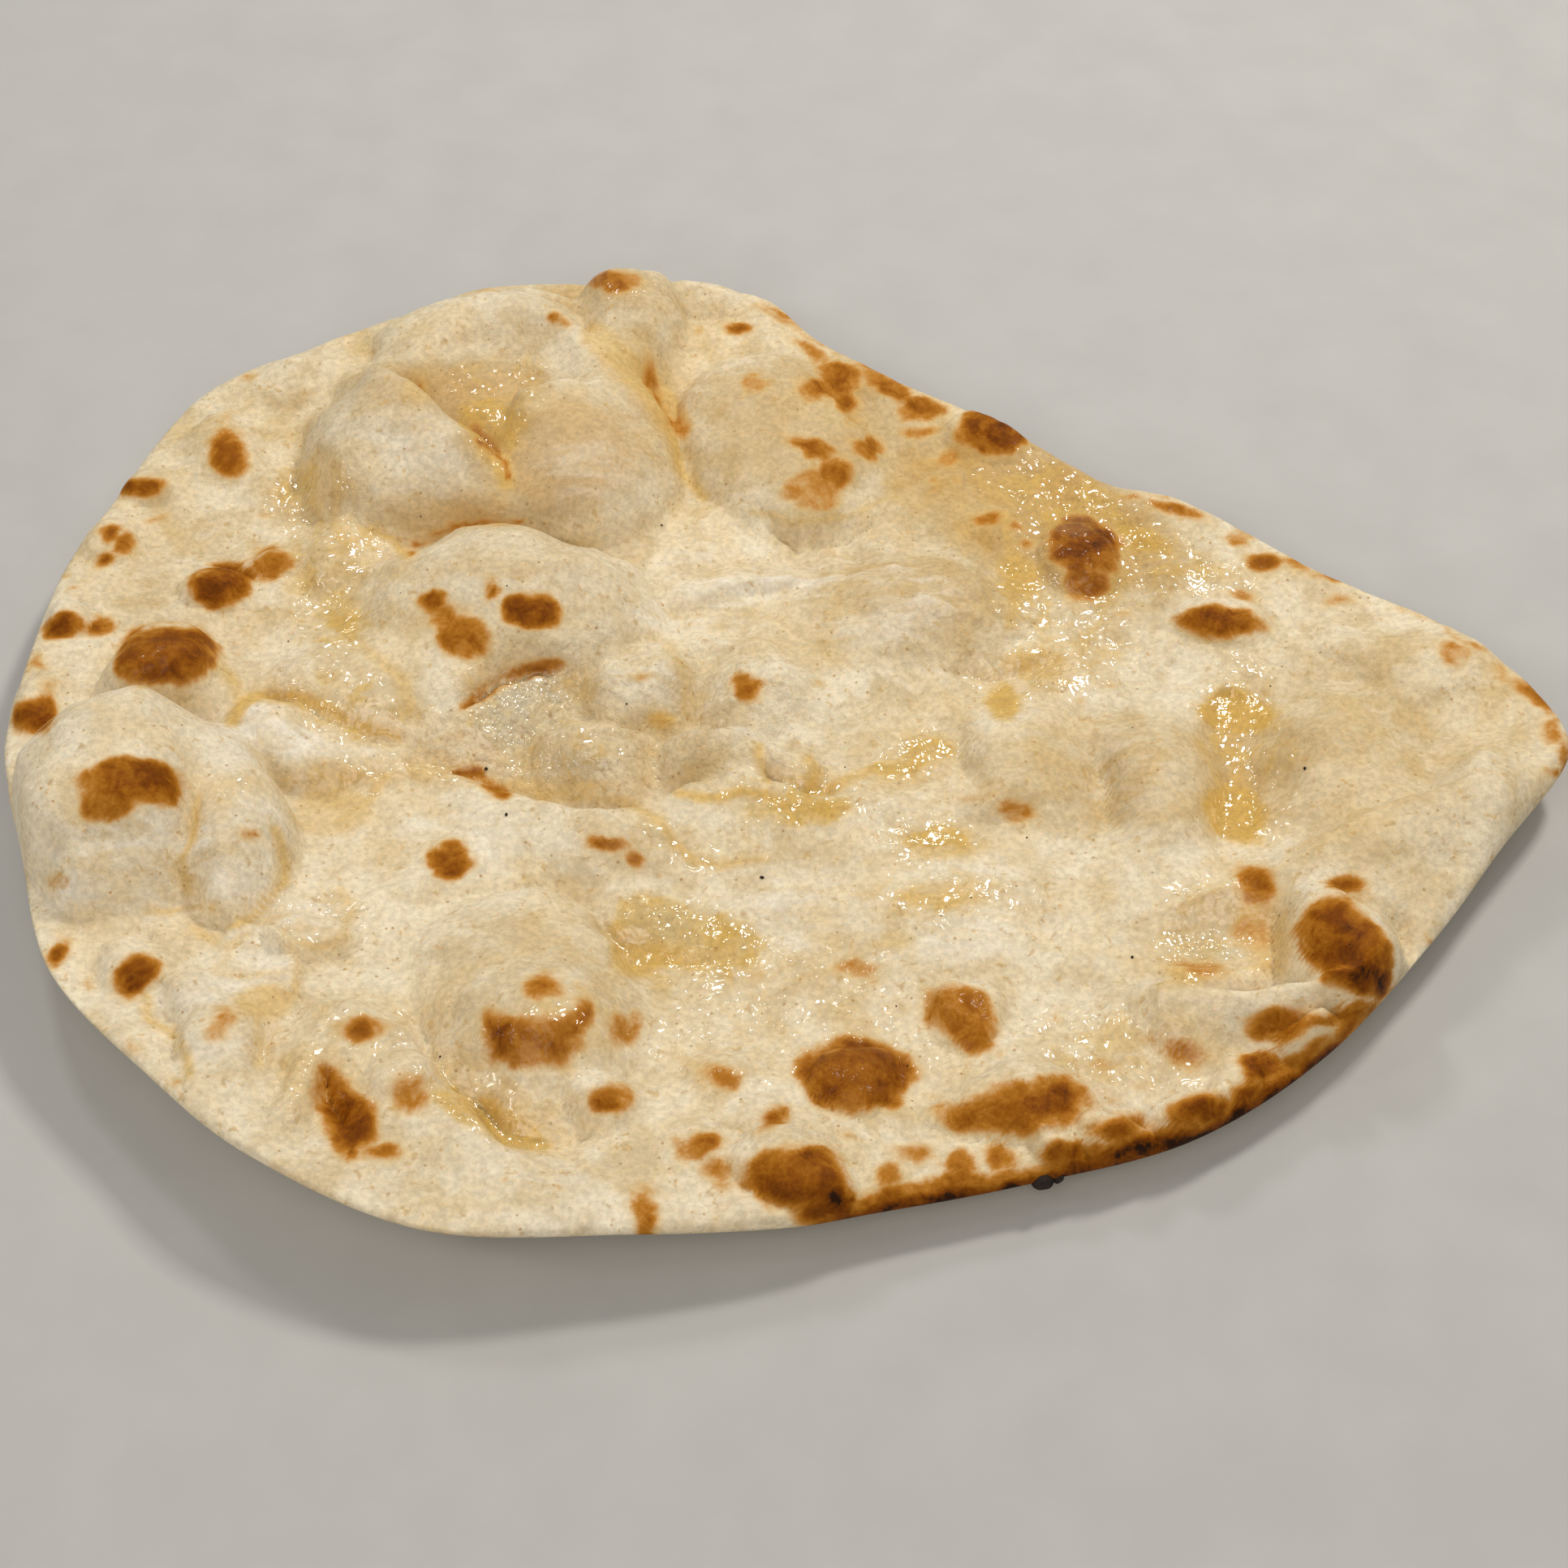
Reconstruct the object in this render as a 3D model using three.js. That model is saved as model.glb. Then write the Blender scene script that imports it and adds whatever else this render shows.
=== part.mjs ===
// Naan bread: one leavened flatbread pulled out to a teardrop and blistered against a hot oven wall.
// It is a single closed solid in millimetres, +Z up. The underside's middle lies flat on z = 0, the rim
// curls up all round, +X runs to the pointed tip and the origin is under the middle of the bread's box.
import * as THREE from 'three';

// Driving dimensions of the slab, mm
const SLAB_THICKNESS = 7; // crumb and both crusts, away from the rim
const RIM_THICKNESS = 6; // where the edge starts to round off
const RIM_ROUNDING = 4.5; // width of the band over which the edge rounds off
const RIM_THINNING = 30; // width of the band over which the slab thins to the rim
const REST_SHARE = 0.5; // share of the way from the middle to the rim that lies on the table
const CURL_POWER = 1.7; // how late the underside turns up towards the rim
const UNEVENNESS = 0.8; // height of the slow waves that pulling the dough leaves

// The dimple that all the places below are measured from, seen from under the middle of the box
const DIMPLE = { x: -0.6, y: -12.1 };
// Where the rings of the mesh gather, measured from the dimple
const HUB = { x: 2, y: 14 };

// Mesh fineness
const TOP_RINGS = 37; // evenly spaced rings on the top, each with six points more than the last
const RING_STEP = 6;
const ROUNDING_RINGS = 3; // further rings round the top half of the edge
const UNDERSIDE_RINGS = [
  { share: 0.985, points: 210 },
  { share: 0.955, points: 168 },
  { share: 0.9, points: 126 },
  { share: 0.82, points: 96 },
  { share: 0.72, points: 72 },
  { share: 0.61, points: 60 },
  { share: REST_SHARE, points: 48 },
];

// The rim, counter-clockwise from the tip: how far out, and how high its underside is off the table
const RIM = [
  { x: 148, y: 3, lift: 8 },
  { x: 142, y: 17, lift: 8 },
  { x: 127, y: 35, lift: 6 },
  { x: 106, y: 49, lift: 5 },
  { x: 85, y: 66, lift: 5 },
  { x: 66, y: 74, lift: 5 },
  { x: 46, y: 91, lift: 5 },
  { x: 25, y: 104, lift: 5 },
  { x: 7, y: 117, lift: 6 },
  { x: -4, y: 128, lift: 8 },
  { x: -20, y: 132, lift: 8 },
  { x: -46, y: 133, lift: 8 },
  { x: -66, y: 132, lift: 8 },
  { x: -80, y: 125, lift: 7 },
  { x: -102, y: 114, lift: 6 },
  { x: -124, y: 98, lift: 6 },
  { x: -137, y: 66, lift: 7 },
  { x: -144, y: 43, lift: 8 },
  { x: -147, y: 5, lift: 9 },
  { x: -144, y: -12, lift: 10 },
  { x: -139, y: -27, lift: 10 },
  { x: -129, y: -55, lift: 12 },
  { x: -108, y: -78, lift: 13 },
  { x: -88, y: -95, lift: 14 },
  { x: -59, y: -108, lift: 13 },
  { x: -25, y: -107, lift: 10 },
  { x: 0, y: -104, lift: 7 },
  { x: 15, y: -100, lift: 5 },
  { x: 40, y: -94, lift: 4 },
  { x: 70, y: -85, lift: 4 },
  { x: 95, y: -68, lift: 5 },
  { x: 117, y: -44, lift: 7 },
  { x: 132, y: -24, lift: 8 },
  { x: 146, y: -6, lift: 8 },
];

// Hollow puffs that ballooned off the slab, from the tall left one round to the low swellings on the right
const PUFFS = [
  dome(-121, -16, 21.5, 21, 22, { fullness: 0.5 }),
  dome(-118, -26, 18, 17.5, 15, { fullness: 0.65 }),
  dome(-102, -20, 10, 24, 15, { turn: 13, fullness: 0.6 }),
  dome(-59, 90, 37, 35, 12.5, { fullness: 0.55 }),
  dome(-80, 78, 20, 22, 15, { turn: 20, fullness: 0.65 }),
  dome(-42, 75, 19, 19, 14.5, { fullness: 0.65 }),
  dome(-62, 114, 27, 13, 11, { turn: 3, fullness: 0.6 }),
  dome(-35, 120, 13, 14, 12, { fullness: 0.6 }),
  dome(-36, 108, 11, 12, 8, { fullness: 0.8 }),
  dome(-1, 84, 21, 26, 9, { turn: 20, fullness: 0.6 }),
  dome(-56, 37, 31, 21, 16, { turn: 8, fullness: 0.7 }),
  dome(-69, 24, 34, 25, 10, { turn: 20, fullness: 0.95 }),
  dome(-44, -57, 21, 27, 8, { fullness: 0.6 }),
  dome(100, -50, 11, 14, 10, { turn: 15, fullness: 0.7 }),
  dome(70, -6, 16, 25, 7.5, { turn: -12, fullness: 1.2 }),
  dome(47, -4, 15, 19, 6.5, { turn: -15, fullness: 1.2 }),
  dome(104, -3, 17, 20, 7, { turn: -25, fullness: 1.2 }),
  dome(24, 39, 26, 19, 6.5, { turn: -5, fullness: 1.1 }),
  dome(-28, 17, 12, 14, 7, { fullness: 0.7 }),
  dome(-34, 2, 13, 9, 7.5, { fullness: 0.85 }),
  dome(-6, 16, 13, 12, 5.5, { fullness: 0.8 }),
  dome(-12, 0, 13, 9, 7.5, { fullness: 0.85 }),
  dome(-96, 4, 12, 10, 7, { fullness: 0.7 }),
  dome(-79, 1, 15, 6, 4, { turn: -10 }),
  dome(-86, 54, 13, 13, 6, { fullness: 0.9 }),
  dome(-111, 15, 10, 7, 4, { fullness: 0.8 }),
  dome(24, 66, 26, 12, 3, { turn: -20, fullness: 0.9 }),
  dome(30, -38, 40, 16, 2.5, { turn: 5, fullness: 1.0 }),
];
const PUFF_FILLET = 3.5; // how softly one puff's foot runs into the next

// Small blisters, most of them scorched on top, and shallow hollows where the height is below zero
const BLISTERS = [
  dome(-60, 99, 19, 12, -3.5, { fullness: 1.0 }),
  dome(-112, 41, 8, 7, 4.5, { fullness: 0.6 }),
  dome(-102, 50, 6, 5, 2.5, { fullness: 0.7 }),
  dome(-120, 18, 10.5, 11, 9, { fullness: 0.6 }),
  dome(-135, 56, 6, 7, 3.5),
  dome(-131, 71, 7, 6, 4),
  dome(-142, 10, 5, 8, 3.5),
  dome(-140, 32, 6, 5, 3.5),
  dome(-116, 82, 9, 12, 3.5),
  dome(2, -4, 5.5, 5.5, 4, { fullness: 0.5 }),
  dome(13, -8, 5, 4, 2.5, { fullness: 0.6 }),
  dome(-43, -66, 15, 14, 4.5, { fullness: 0.9 }),
  dome(-84, -43, 7.5, 6, 5, { fullness: 0.6 }),
  dome(12, -73, 9, 8.5, 5, { fullness: 0.7 }),
  dome(2, -94, 10, 8, 5, { fullness: 0.7 }),
  dome(42, -80, 16, 8, 4.5, { fullness: 0.6 }),
  dome(60, 54, 8.5, 10, 4.5, { fullness: 0.75 }),
  dome(86, 34, 10, 6, 3.5, { turn: -10, fullness: 0.8 }),
  dome(31, -60, 8, 8, 4, { fullness: 0.6 }),
  dome(-30, -79, 6, 5, 3.5, { fullness: 0.6 }),
  dome(-115, -54, 6, 6, 3.5, { fullness: 0.6 }),
  dome(-62, -27, 8, 8, 2),
  dome(-33, -22, 12, 8, 2),
  dome(43, 87, 10, 8, 3, { fullness: 0.8 }),
  dome(77, -42, 14, 9, -4, { fullness: 1.0 }),
  dome(47, -89, 5, 4, 3.5, { fullness: 0.6 }),
  dome(57, -86, 7, 5, 5, { fullness: 0.6 }),
  dome(70, -81, 8, 5, 5, { fullness: 0.6 }),
  dome(79, -76, 5.5, 5, 3.5, { fullness: 0.6 }),
  dome(90, -69, 6, 5, 3, { fullness: 0.6 }),
  dome(-5, -82, 6, 5, 2),
  dome(-14, -90, 7, 7, 2),
  dome(-11, -73, 6, 6, 2),
  dome(57, 20, 9, 7, 2.5),
  dome(40, -12, 8, 5, 2),
  dome(124, 22, 14, 10, 2.5),
  dome(110, 30, 9, 7, 2),
  dome(-64, -78, 6, 6, 2.5),
  dome(-81, -80, 4, 10, 2.5, { turn: -20 }),
  dome(-20, 128, 10, 7, 3),
  dome(-100, 104, 12, 8, 3, { turn: 25 }),
];

// Rolls that stand up along a line and creases that sink along one: route, height, and half widths on
// the left and right of the route
const FOLDS = [
  fold([[86, -30], [99, -27], [111, -22], [124, -13], [138, -1]], 7, 4, 13),
  fold([[58, -58], [65, -57], [78, -60], [90, -60], [101, -60]], 7, 2.5, 8),
  fold([[-74, -3], [-60, -7], [-44, -13], [-28, -14], [-11, -10], [5, -13], [16, -12], [28, -8]], 5, 2.5, 15),
  fold([[-84, -60], [-76, -64], [-67, -69], [-59, -78], [-52, -88], [-45, -95]], 5, 2.5, 12),
  fold([[-86, 98], [-77, 87], [-69, 77], [-60, 66]], 5, 3.5, 14),
  fold([[-35, 93], [-47, 92], [-55, 87], [-57, 77]], 3, 10, 3),
  fold([[-64, 117], [-42, 108], [-32, 96], [-25, 80]], 3, 5, 8),
  fold([[-46, 40], [-38, 41], [-30, 39]], 2, 1.2, 5),
  fold([[-25, 42], [-14, 43], [-4, 46], [7, 50]], 3, 7, 1.2),
  fold([[-21, 27], [-12, 26], [-2, 24]], 1.5, 5, 1.2),
  fold([[-113, -44], [-109, -50], [-108, -56], [-111, -61]], 2, 6, 1.2),
  fold([[-111, -61], [-106, -65], [-103, -71], [-101, -77]], 3.2, 8, 1.2),
  fold(
    [[-101, -54], [-99, -48], [-96, -44], [-92, -44], [-88, -46], [-86, -52], [-87, -58], [-94, -61]],
    3, 1.2, 7,
  ),
  fold([[-94, -61], [-92, -68], [-92, -79]], 2.4, 1.2, 7),
  fold([[-80, 101], [-71, 89], [-64, 80], [-58, 71]], -7, 8, 2),
  fold([[-36, 97], [-48, 96], [-56, 90], [-59, 80]], -4, 3.5, 8),
  fold([[-78, 55], [-66, 59], [-54, 59], [-38, 57]], -4, 2.5),
  fold([[-111, -8], [-107, -17], [-107, -26], [-108, -34], [-107, -41]], -4, 2.8),
  fold([[-99, -5], [-84, -6], [-73, 0], [-62, -1], [-54, -6], [-44, -8], [-28, -9], [-12, -5]], -3, 3),
  fold([[-104, 15], [-96, 14], [-86, 9], [-78, 5], [-70, 3]], -3, 2.5),
  fold([[-61, 10], [-56, 16], [-50, 20], [-42, 21]], -5, 2),
  fold([[-62, -2], [-57, -5], [-52, -9]], -3, 1.5),
  fold([[-18, 29], [-18, 18], [-16, 8]], -2.5, 2.5),
  fold([[-42, 14], [-34, 8], [-22, 7], [-8, 6]], -2.5, 2.5),
  fold([[-24, 6], [-23, 0], [-22, -6]], -2.5, 2.5),
  fold([[-58, -34], [-44, -30], [-34, -33], [-27, -42], [-24, -54]], -3.5, 3),
  fold([[-66, -60], [-62, -72], [-54, -81], [-46, -87], [-36, -87], [-28, -80]], -4.5, 3.5),
  fold([[-28, -38], [-20, -45], [-10, -48]], -3, 8),
  fold([[87, 20], [88, 8], [86, -6], [80, -22]], -6, 6),
  fold([[58, 8], [60, -6], [58, -18]], -4, 4),
  fold([[36, 12], [34, 0], [36, -12]], -2.5, 4),
  fold([[33, 22], [44, 22], [56, 26]], -3, 4),
  fold([[-30, 108], [-26, 98], [-23, 90]], -4, 3),
  fold([[-52, 124], [-47, 117], [-42, 110]], -4, 2.5),
  fold([[-6, 62], [4, 59], [14, 62], [19, 69]], -3, 2),
  fold([[84, -67], [91, -63], [99, -63]], -4, 2),
  fold([[110, -36], [111, -50], [107, -59]], -4, 2.5),
  fold([[90, -38], [89, -48], [84, -55], [70, -55]], -4, 3),
  fold([[-112, -58], [-105, -68], [-103, -78]], -3.5, 2.5),
  fold([[-90, -62], [-89, -69], [-89, -77]], -2, 3),
  fold([[-77, -73], [-75, -80], [-72, -89]], -3, 1.5),
  fold([[-107, 60], [-102, 72], [-99, 84]], -2.5, 5),
  fold([[98, 16], [106, 20], [118, 18]], -2, 4),
  fold([[-20, 50], [-4, 52], [10, 54]], -2, 4),
];
const FOLD_FADE = 0.2; // share of a fold's length over which each end fades
const FOLD_END = 0.2; // share of its height that is left at its ends
const CREASE_SHARPNESS = 1.3;
const WARP = 1.2; // how far forms are pushed about, so that none stays a clean ellipse

const CRUST_COLOUR = 0xe2ceaa;
const CRUST_ROUGHNESS = 0.55;
const CRUST_METALNESS = 0;

const rimCurve = new THREE.CatmullRomCurve3(
  RIM.map(({ x, y, lift }) => new THREE.Vector3(x, y, lift)),
  true,
  'catmullrom',
  0.5,
);
rimCurve.arcLengthDivisions = 4000;

// The larger of two heights, with the corner between them rounded off over the given height
function smoothLarger(a, b, rounding) {
  const share = THREE.MathUtils.clamp(0.5 + (0.5 * (b - a)) / rounding, 0, 1);
  return THREE.MathUtils.lerp(a, b, share) + rounding * share * (1 - share);
}

// A swelling: its middle, half widths and height, the turn of its axes in degrees, and its fullness,
// which is low for steep sides under a broad top and 1 for a plain mound
function dome(x, y, rx, ry, height, { turn = 0, fullness = 0.8 } = {}) {
  return { x, y, rx, ry, height, turn, fullness };
}

function fold(route, height, leftWidth, rightWidth = leftWidth) {
  return { route, height, leftWidth, rightWidth };
}

// Height of a dome at a place: full in the middle, nothing at its foot and below zero outside it
function domeHeight({ x, y, rx, ry, turn, height, fullness }, px, py) {
  const angle = THREE.MathUtils.degToRad(turn);
  const along = (px - x) * Math.cos(angle) + (py - y) * Math.sin(angle);
  const across = (py - y) * Math.cos(angle) - (px - x) * Math.sin(angle);
  const reach = (along / rx) ** 2 + (across / ry) ** 2;
  return reach < 1 ? height * (1 - reach) ** fullness : height * (1 - reach);
}

// The nearest place on a route: how far off it is, whether it is passed on its left, and its share of the way
function nearestOnRoute(route, px, py) {
  let nearest = { distance: Infinity };
  for (let i = 1; i < route.length; i += 1) {
    const [ax, ay] = route[i - 1];
    const [dx, dy] = [route[i][0] - ax, route[i][1] - ay];
    const t = THREE.MathUtils.clamp(((px - ax) * dx + (py - ay) * dy) / (dx * dx + dy * dy), 0, 1);
    const distance = Math.hypot(px - ax - t * dx, py - ay - t * dy);
    if (distance < nearest.distance) {
      const onLeft = dx * (py - ay) - dy * (px - ax) > 0;
      nearest = { distance, onLeft, share: (i - 1 + t) / (route.length - 1) };
    }
  }
  return nearest;
}

// Height of a fold at a place: a round roll or a sharp crease, fading out at both ends
function foldHeight({ route, height, leftWidth, rightWidth }, px, py) {
  const { distance, onLeft, share } = nearestOnRoute(route, px, py);
  const away = distance / (onLeft ? leftWidth : rightWidth);
  const profile = height > 0 ? Math.exp(-(away ** 2)) : Math.exp(-CREASE_SHARPNESS * away);
  const ends = Math.min(1, Math.min(share, 1 - share) / FOLD_FADE);
  return height * THREE.MathUtils.lerp(FOLD_END, 1, ends) * profile;
}

// Slow waves over the whole slab
function unevenness(px, py) {
  const long = Math.sin(px / 23 + 1.1) * Math.cos(py / 19 - 0.4);
  const short = Math.sin(px / 11 - py / 17) * Math.cos(py / 9 + px / 21);
  return UNEVENNESS * (long + 0.6 * short);
}

// All that stands up from or sinks into the slab's plain top at a place
function reliefHeight(px, py) {
  const wx = px + WARP * (Math.sin(py / 7 + 0.7) + 0.6 * Math.sin(px / 5 + py / 9));
  const wy = py + WARP * (Math.sin(px / 8 - 0.4) + 0.6 * Math.sin(py / 6 - px / 10));
  let relief = 0;
  for (const puff of PUFFS) {
    relief = smoothLarger(relief, domeHeight(puff, wx, wy), PUFF_FILLET);
  }
  relief += unevenness(px, py) - PUFF_FILLET / 4;
  for (const blister of BLISTERS) {
    const rise = domeHeight(blister, wx, wy);
    relief += blister.height > 0 ? Math.max(0, rise) : Math.min(0, rise);
  }
  for (const line of FOLDS) {
    relief += foldHeight(line, wx, wy);
  }
  return relief;
}

// A place on the plan, with the rim that it lies towards: share 0 is the hub and 1 is the rim
function planPlace(share, rim) {
  const x = HUB.x + share * (rim.x - HUB.x);
  const y = HUB.y + share * (rim.y - HUB.y);
  const inset = Math.hypot(rim.x - x, rim.y - y);
  return { x, y, inset, lift: rim.z, share };
}

function undersideHeight({ lift, share }) {
  const curl = Math.max(0, (share - REST_SHARE) / (1 - REST_SHARE));
  return lift * curl ** CURL_POWER;
}

function slabThickness({ inset }) {
  const thinning = THREE.MathUtils.smoothstep(inset, 0, RIM_THINNING);
  return THREE.MathUtils.lerp(RIM_THICKNESS, SLAB_THICKNESS, thinning);
}

// How far the edge has rounded off: 1 inside the band, 0 at the very rim
function edgeRoundness({ inset }) {
  const share = THREE.MathUtils.clamp(inset / RIM_ROUNDING, 0, 1);
  return Math.sqrt(1 - (1 - share) ** 2);
}

function topPoint(place) {
  const middle = undersideHeight(place) + slabThickness(place) / 2;
  const rise = slabThickness(place) / 2 + reliefHeight(place.x, place.y);
  const height = middle + rise * edgeRoundness(place);
  return new THREE.Vector3(place.x, place.y, Math.max(height, middle));
}

function undersidePoint(place) {
  const middle = undersideHeight(place) + slabThickness(place) / 2;
  const height = middle - (slabThickness(place) / 2) * edgeRoundness(place);
  return new THREE.Vector3(place.x, place.y, height);
}

// One ring of surface points at a share of the way out
function ringPoints(share, count, surface) {
  const ring = [];
  for (let i = 0; i < count; i += 1) {
    ring.push(surface(planPlace(share, rimCurve.getPointAt(i / count))));
  }
  return ring;
}

function topRings() {
  const rings = [];
  const plainShare = 1 - RIM_ROUNDING / 125;
  for (let i = 1; i <= TOP_RINGS; i += 1) {
    rings.push(ringPoints((plainShare * i) / TOP_RINGS, i * RING_STEP, topPoint));
  }
  for (let i = 1; i <= ROUNDING_RINGS; i += 1) {
    const turned = Math.sin((i / ROUNDING_RINGS) * (Math.PI / 2));
    const share = plainShare + (1 - plainShare) * turned;
    rings.push(ringPoints(share, TOP_RINGS * RING_STEP, topPoint));
  }
  return rings;
}

function undersideRings() {
  return UNDERSIDE_RINGS.map(({ share, points }) => ringPoints(share, points, undersidePoint));
}

// Triangles between an inner ring and the next one out, both starting at the same bearing
function stitchRings(triangles, inner, outer) {
  let i = 0;
  let j = 0;
  while (i < inner.count || j < outer.count) {
    const a = inner.start + (i % inner.count);
    const b = outer.start + (j % outer.count);
    if (j < outer.count && (i === inner.count || (j + 1) / outer.count <= (i + 1) / inner.count)) {
      triangles.push(a, b, outer.start + ((j + 1) % outer.count));
      j += 1;
    } else {
      triangles.push(a, b, inner.start + ((i + 1) % inner.count));
      i += 1;
    }
  }
}

function closeWithFan(triangles, ring, hub, facingUp) {
  for (let i = 0; i < ring.count; i += 1) {
    const a = ring.start + i;
    const b = ring.start + ((i + 1) % ring.count);
    triangles.push(...(facingUp ? [hub, a, b] : [hub, b, a]));
  }
}

// The closed surface: fan at the top's hub, rings out to the rim, rings back in underneath, fan again
function naanGeometry() {
  const rings = [...topRings(), ...undersideRings()];
  const points = [];
  const placed = rings.map((ring) => {
    const start = points.length;
    points.push(...ring);
    return { start, count: ring.length };
  });
  const hubPlace = planPlace(0, rimCurve.getPointAt(0));
  const topHub = points.push(topPoint(hubPlace)) - 1;
  const undersideHub = points.push(undersidePoint(hubPlace)) - 1;
  const triangles = [];
  closeWithFan(triangles, placed[0], topHub, true);
  for (let i = 1; i < placed.length; i += 1) {
    stitchRings(triangles, placed[i - 1], placed[i]);
  }
  closeWithFan(triangles, placed[placed.length - 1], undersideHub, false);
  const geometry = new THREE.BufferGeometry().setFromPoints(points);
  geometry.setIndex(triangles);
  geometry.translate(DIMPLE.x, DIMPLE.y, 0);
  geometry.computeVertexNormals();
  return geometry;
}

function crustMaterial() {
  return new THREE.MeshStandardMaterial({
    color: CRUST_COLOUR,
    roughness: CRUST_ROUGHNESS,
    metalness: CRUST_METALNESS,
  });
}

const naan = new THREE.Mesh(naanGeometry(), crustMaterial());
naan.name = 'naan';

const bread = new THREE.Group();
bread.add(naan);

export default bread;
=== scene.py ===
"""Naan bread, dressed: one blistered, buttered flatbread on a plain pale floor under soft studio light.

The crust is one closed mesh. It is pulled from a flat grid to the bread's outline, curled up at the rim and
swollen by the same puffs, blisters and folds as the solid it stands for, and then by finer ones. Scorching,
butter and toasting are painted on its points as attributes that its finish reads, and so is painted shade in
its hollows and towards the far side. Melted butter stands in the dips as a thin film of its own. Places and
sizes are in millimetres from the dimple near the bread's middle.
"""
import logging
import math
from dataclasses import dataclass, field
from enum import Enum

import bpy
import numpy as np
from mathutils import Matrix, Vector


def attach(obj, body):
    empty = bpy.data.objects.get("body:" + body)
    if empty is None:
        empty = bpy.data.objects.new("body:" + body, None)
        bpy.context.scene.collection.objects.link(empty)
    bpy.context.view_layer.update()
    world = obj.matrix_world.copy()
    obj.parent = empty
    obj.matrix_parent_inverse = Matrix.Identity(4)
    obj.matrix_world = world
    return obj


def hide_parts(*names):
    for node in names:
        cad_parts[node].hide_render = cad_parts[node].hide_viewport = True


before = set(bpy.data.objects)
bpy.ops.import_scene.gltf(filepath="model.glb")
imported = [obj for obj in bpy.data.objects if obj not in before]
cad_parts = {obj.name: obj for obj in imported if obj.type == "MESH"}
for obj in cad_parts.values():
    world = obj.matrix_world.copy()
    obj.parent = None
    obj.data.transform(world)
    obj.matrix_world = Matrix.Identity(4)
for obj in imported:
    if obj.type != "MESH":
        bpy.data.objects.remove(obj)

Tree = bpy.types.NodeTree
Socket = bpy.types.NodeSocket

MM = 0.001
BODY = "root"
NODE = "naan"
LOG = logging.getLogger("naan")

# The dimple that places are measured from, itself from under the middle of the bread's box, mm
DIMPLE = (-0.6, -12.1)
# Where the lines of the mesh gather, from the dimple, mm
HUB = (2.0, 14.0)

# The eye: how far it is from the dimple in mm, and how steeply it looks down
EYE_DISTANCE = 545.0
EYE_ELEVATION = math.radians(50.0)
EYE_BACK = EYE_DISTANCE * math.cos(EYE_ELEVATION)
EYE_UP = EYE_DISTANCE * math.sin(EYE_ELEVATION)
FRAME_WIDTH_PIXELS = 1932
FOCAL_PIXELS = 3500
SENSOR_WIDTH = 36.0
# Marks on the crust are laid out as seen by that eye on a level sheet at this height
SHEET_HEIGHT = 8.0

# Share of a fold's run over which each of its ends fades, and how much of its height the very ends keep
FOLD_FADE = 0.2
FOLD_END = 0.2
# How sharp the bottom of a crease is
CREASE_SHARPNESS = 1.3


class Tone(float, Enum):
    """How far a patch of crust has scorched, from a faint gold to black."""

    FAINT = 0.2
    LIGHT = 0.33
    AMBER = 0.46
    BROWN = 0.68
    DARK = 0.92
    CHAR = 1.03
    BLACK = 1.2


@dataclass(frozen=True)
class Dome:
    """A swelling of the slab, or a hollow where its height is below zero.

    Args:
        x: Middle, along the bread.
        y: Middle, across the bread.
        rx: Half width along its own first axis.
        ry: Half width along its own second axis.
        height: How far its middle stands up.
        turn: Turn of its axes, in degrees.
        fullness: Low for steep sides under a broad top, 1 for a plain mound.
    """

    x: float
    y: float
    rx: float
    ry: float
    height: float
    turn: float = 0.0
    fullness: float = 0.8

    def reach(self, px: np.ndarray, py: np.ndarray) -> np.ndarray:
        """Squared distance from the middle, as 1 at the foot.

        Args:
            px: Places along the bread.
            py: Places across the bread.

        Returns:
            The squared distance at each place.
        """
        angle = math.radians(self.turn)
        along = (px - self.x) * math.cos(angle) + (py - self.y) * math.sin(angle)
        across = (py - self.y) * math.cos(angle) - (px - self.x) * math.sin(angle)
        return (along / self.rx) ** 2 + (across / self.ry) ** 2

    def rise(self, px: np.ndarray, py: np.ndarray) -> np.ndarray:
        """Height at each place, falling below zero outside the foot.

        Args:
            px: Places along the bread.
            py: Places across the bread.

        Returns:
            The height at each place.
        """
        inside = 1.0 - self.reach(px, py)
        full = np.maximum(inside, 0.0) ** self.fullness
        return self.height * np.where(inside > 0.0, full, inside)


@dataclass(frozen=True)
class Fold:
    """A roll that stands up along a line, or a crease that sinks along one.

    Args:
        route: The places that the line runs through.
        height: How far it stands up, below zero for a crease.
        width: Half width on the line's left side.
        right: Half width on its right side, where that is another one.
    """

    route: tuple
    height: float
    width: float
    right: float = 0.0

    def rise(self, px: np.ndarray, py: np.ndarray) -> np.ndarray:
        """Height at each place, fading out at both ends of the line.

        Args:
            px: Places along the bread.
            py: Places across the bread.

        Returns:
            The height at each place.
        """
        nearest = np.full(px.shape, np.inf)
        side = np.zeros(px.shape)
        share = np.zeros(px.shape)
        last = len(self.route) - 1
        for i, ((ax, ay), (bx, by)) in enumerate(zip(self.route[:-1], self.route[1:])):
            dx, dy = bx - ax, by - ay
            t = np.clip(((px - ax) * dx + (py - ay) * dy) / (dx * dx + dy * dy), 0.0, 1.0)
            away = np.hypot(px - ax - t * dx, py - ay - t * dy)
            closer = away < nearest
            nearest = np.where(closer, away, nearest)
            side = np.where(closer, dx * (py - ay) - dy * (px - ax), side)
            share = np.where(closer, (i + t) / last, share)
        width = np.where(side > 0.0, self.width, self.right or self.width)
        ends = np.clip(np.minimum(share, 1.0 - share) / FOLD_FADE, 0.0, 1.0)
        away = nearest / width
        profile = np.exp(-(away ** 2)) if self.height > 0 else np.exp(-CREASE_SHARPNESS * away)
        return self.height * (FOLD_END + (1.0 - FOLD_END) * ends) * profile



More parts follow.
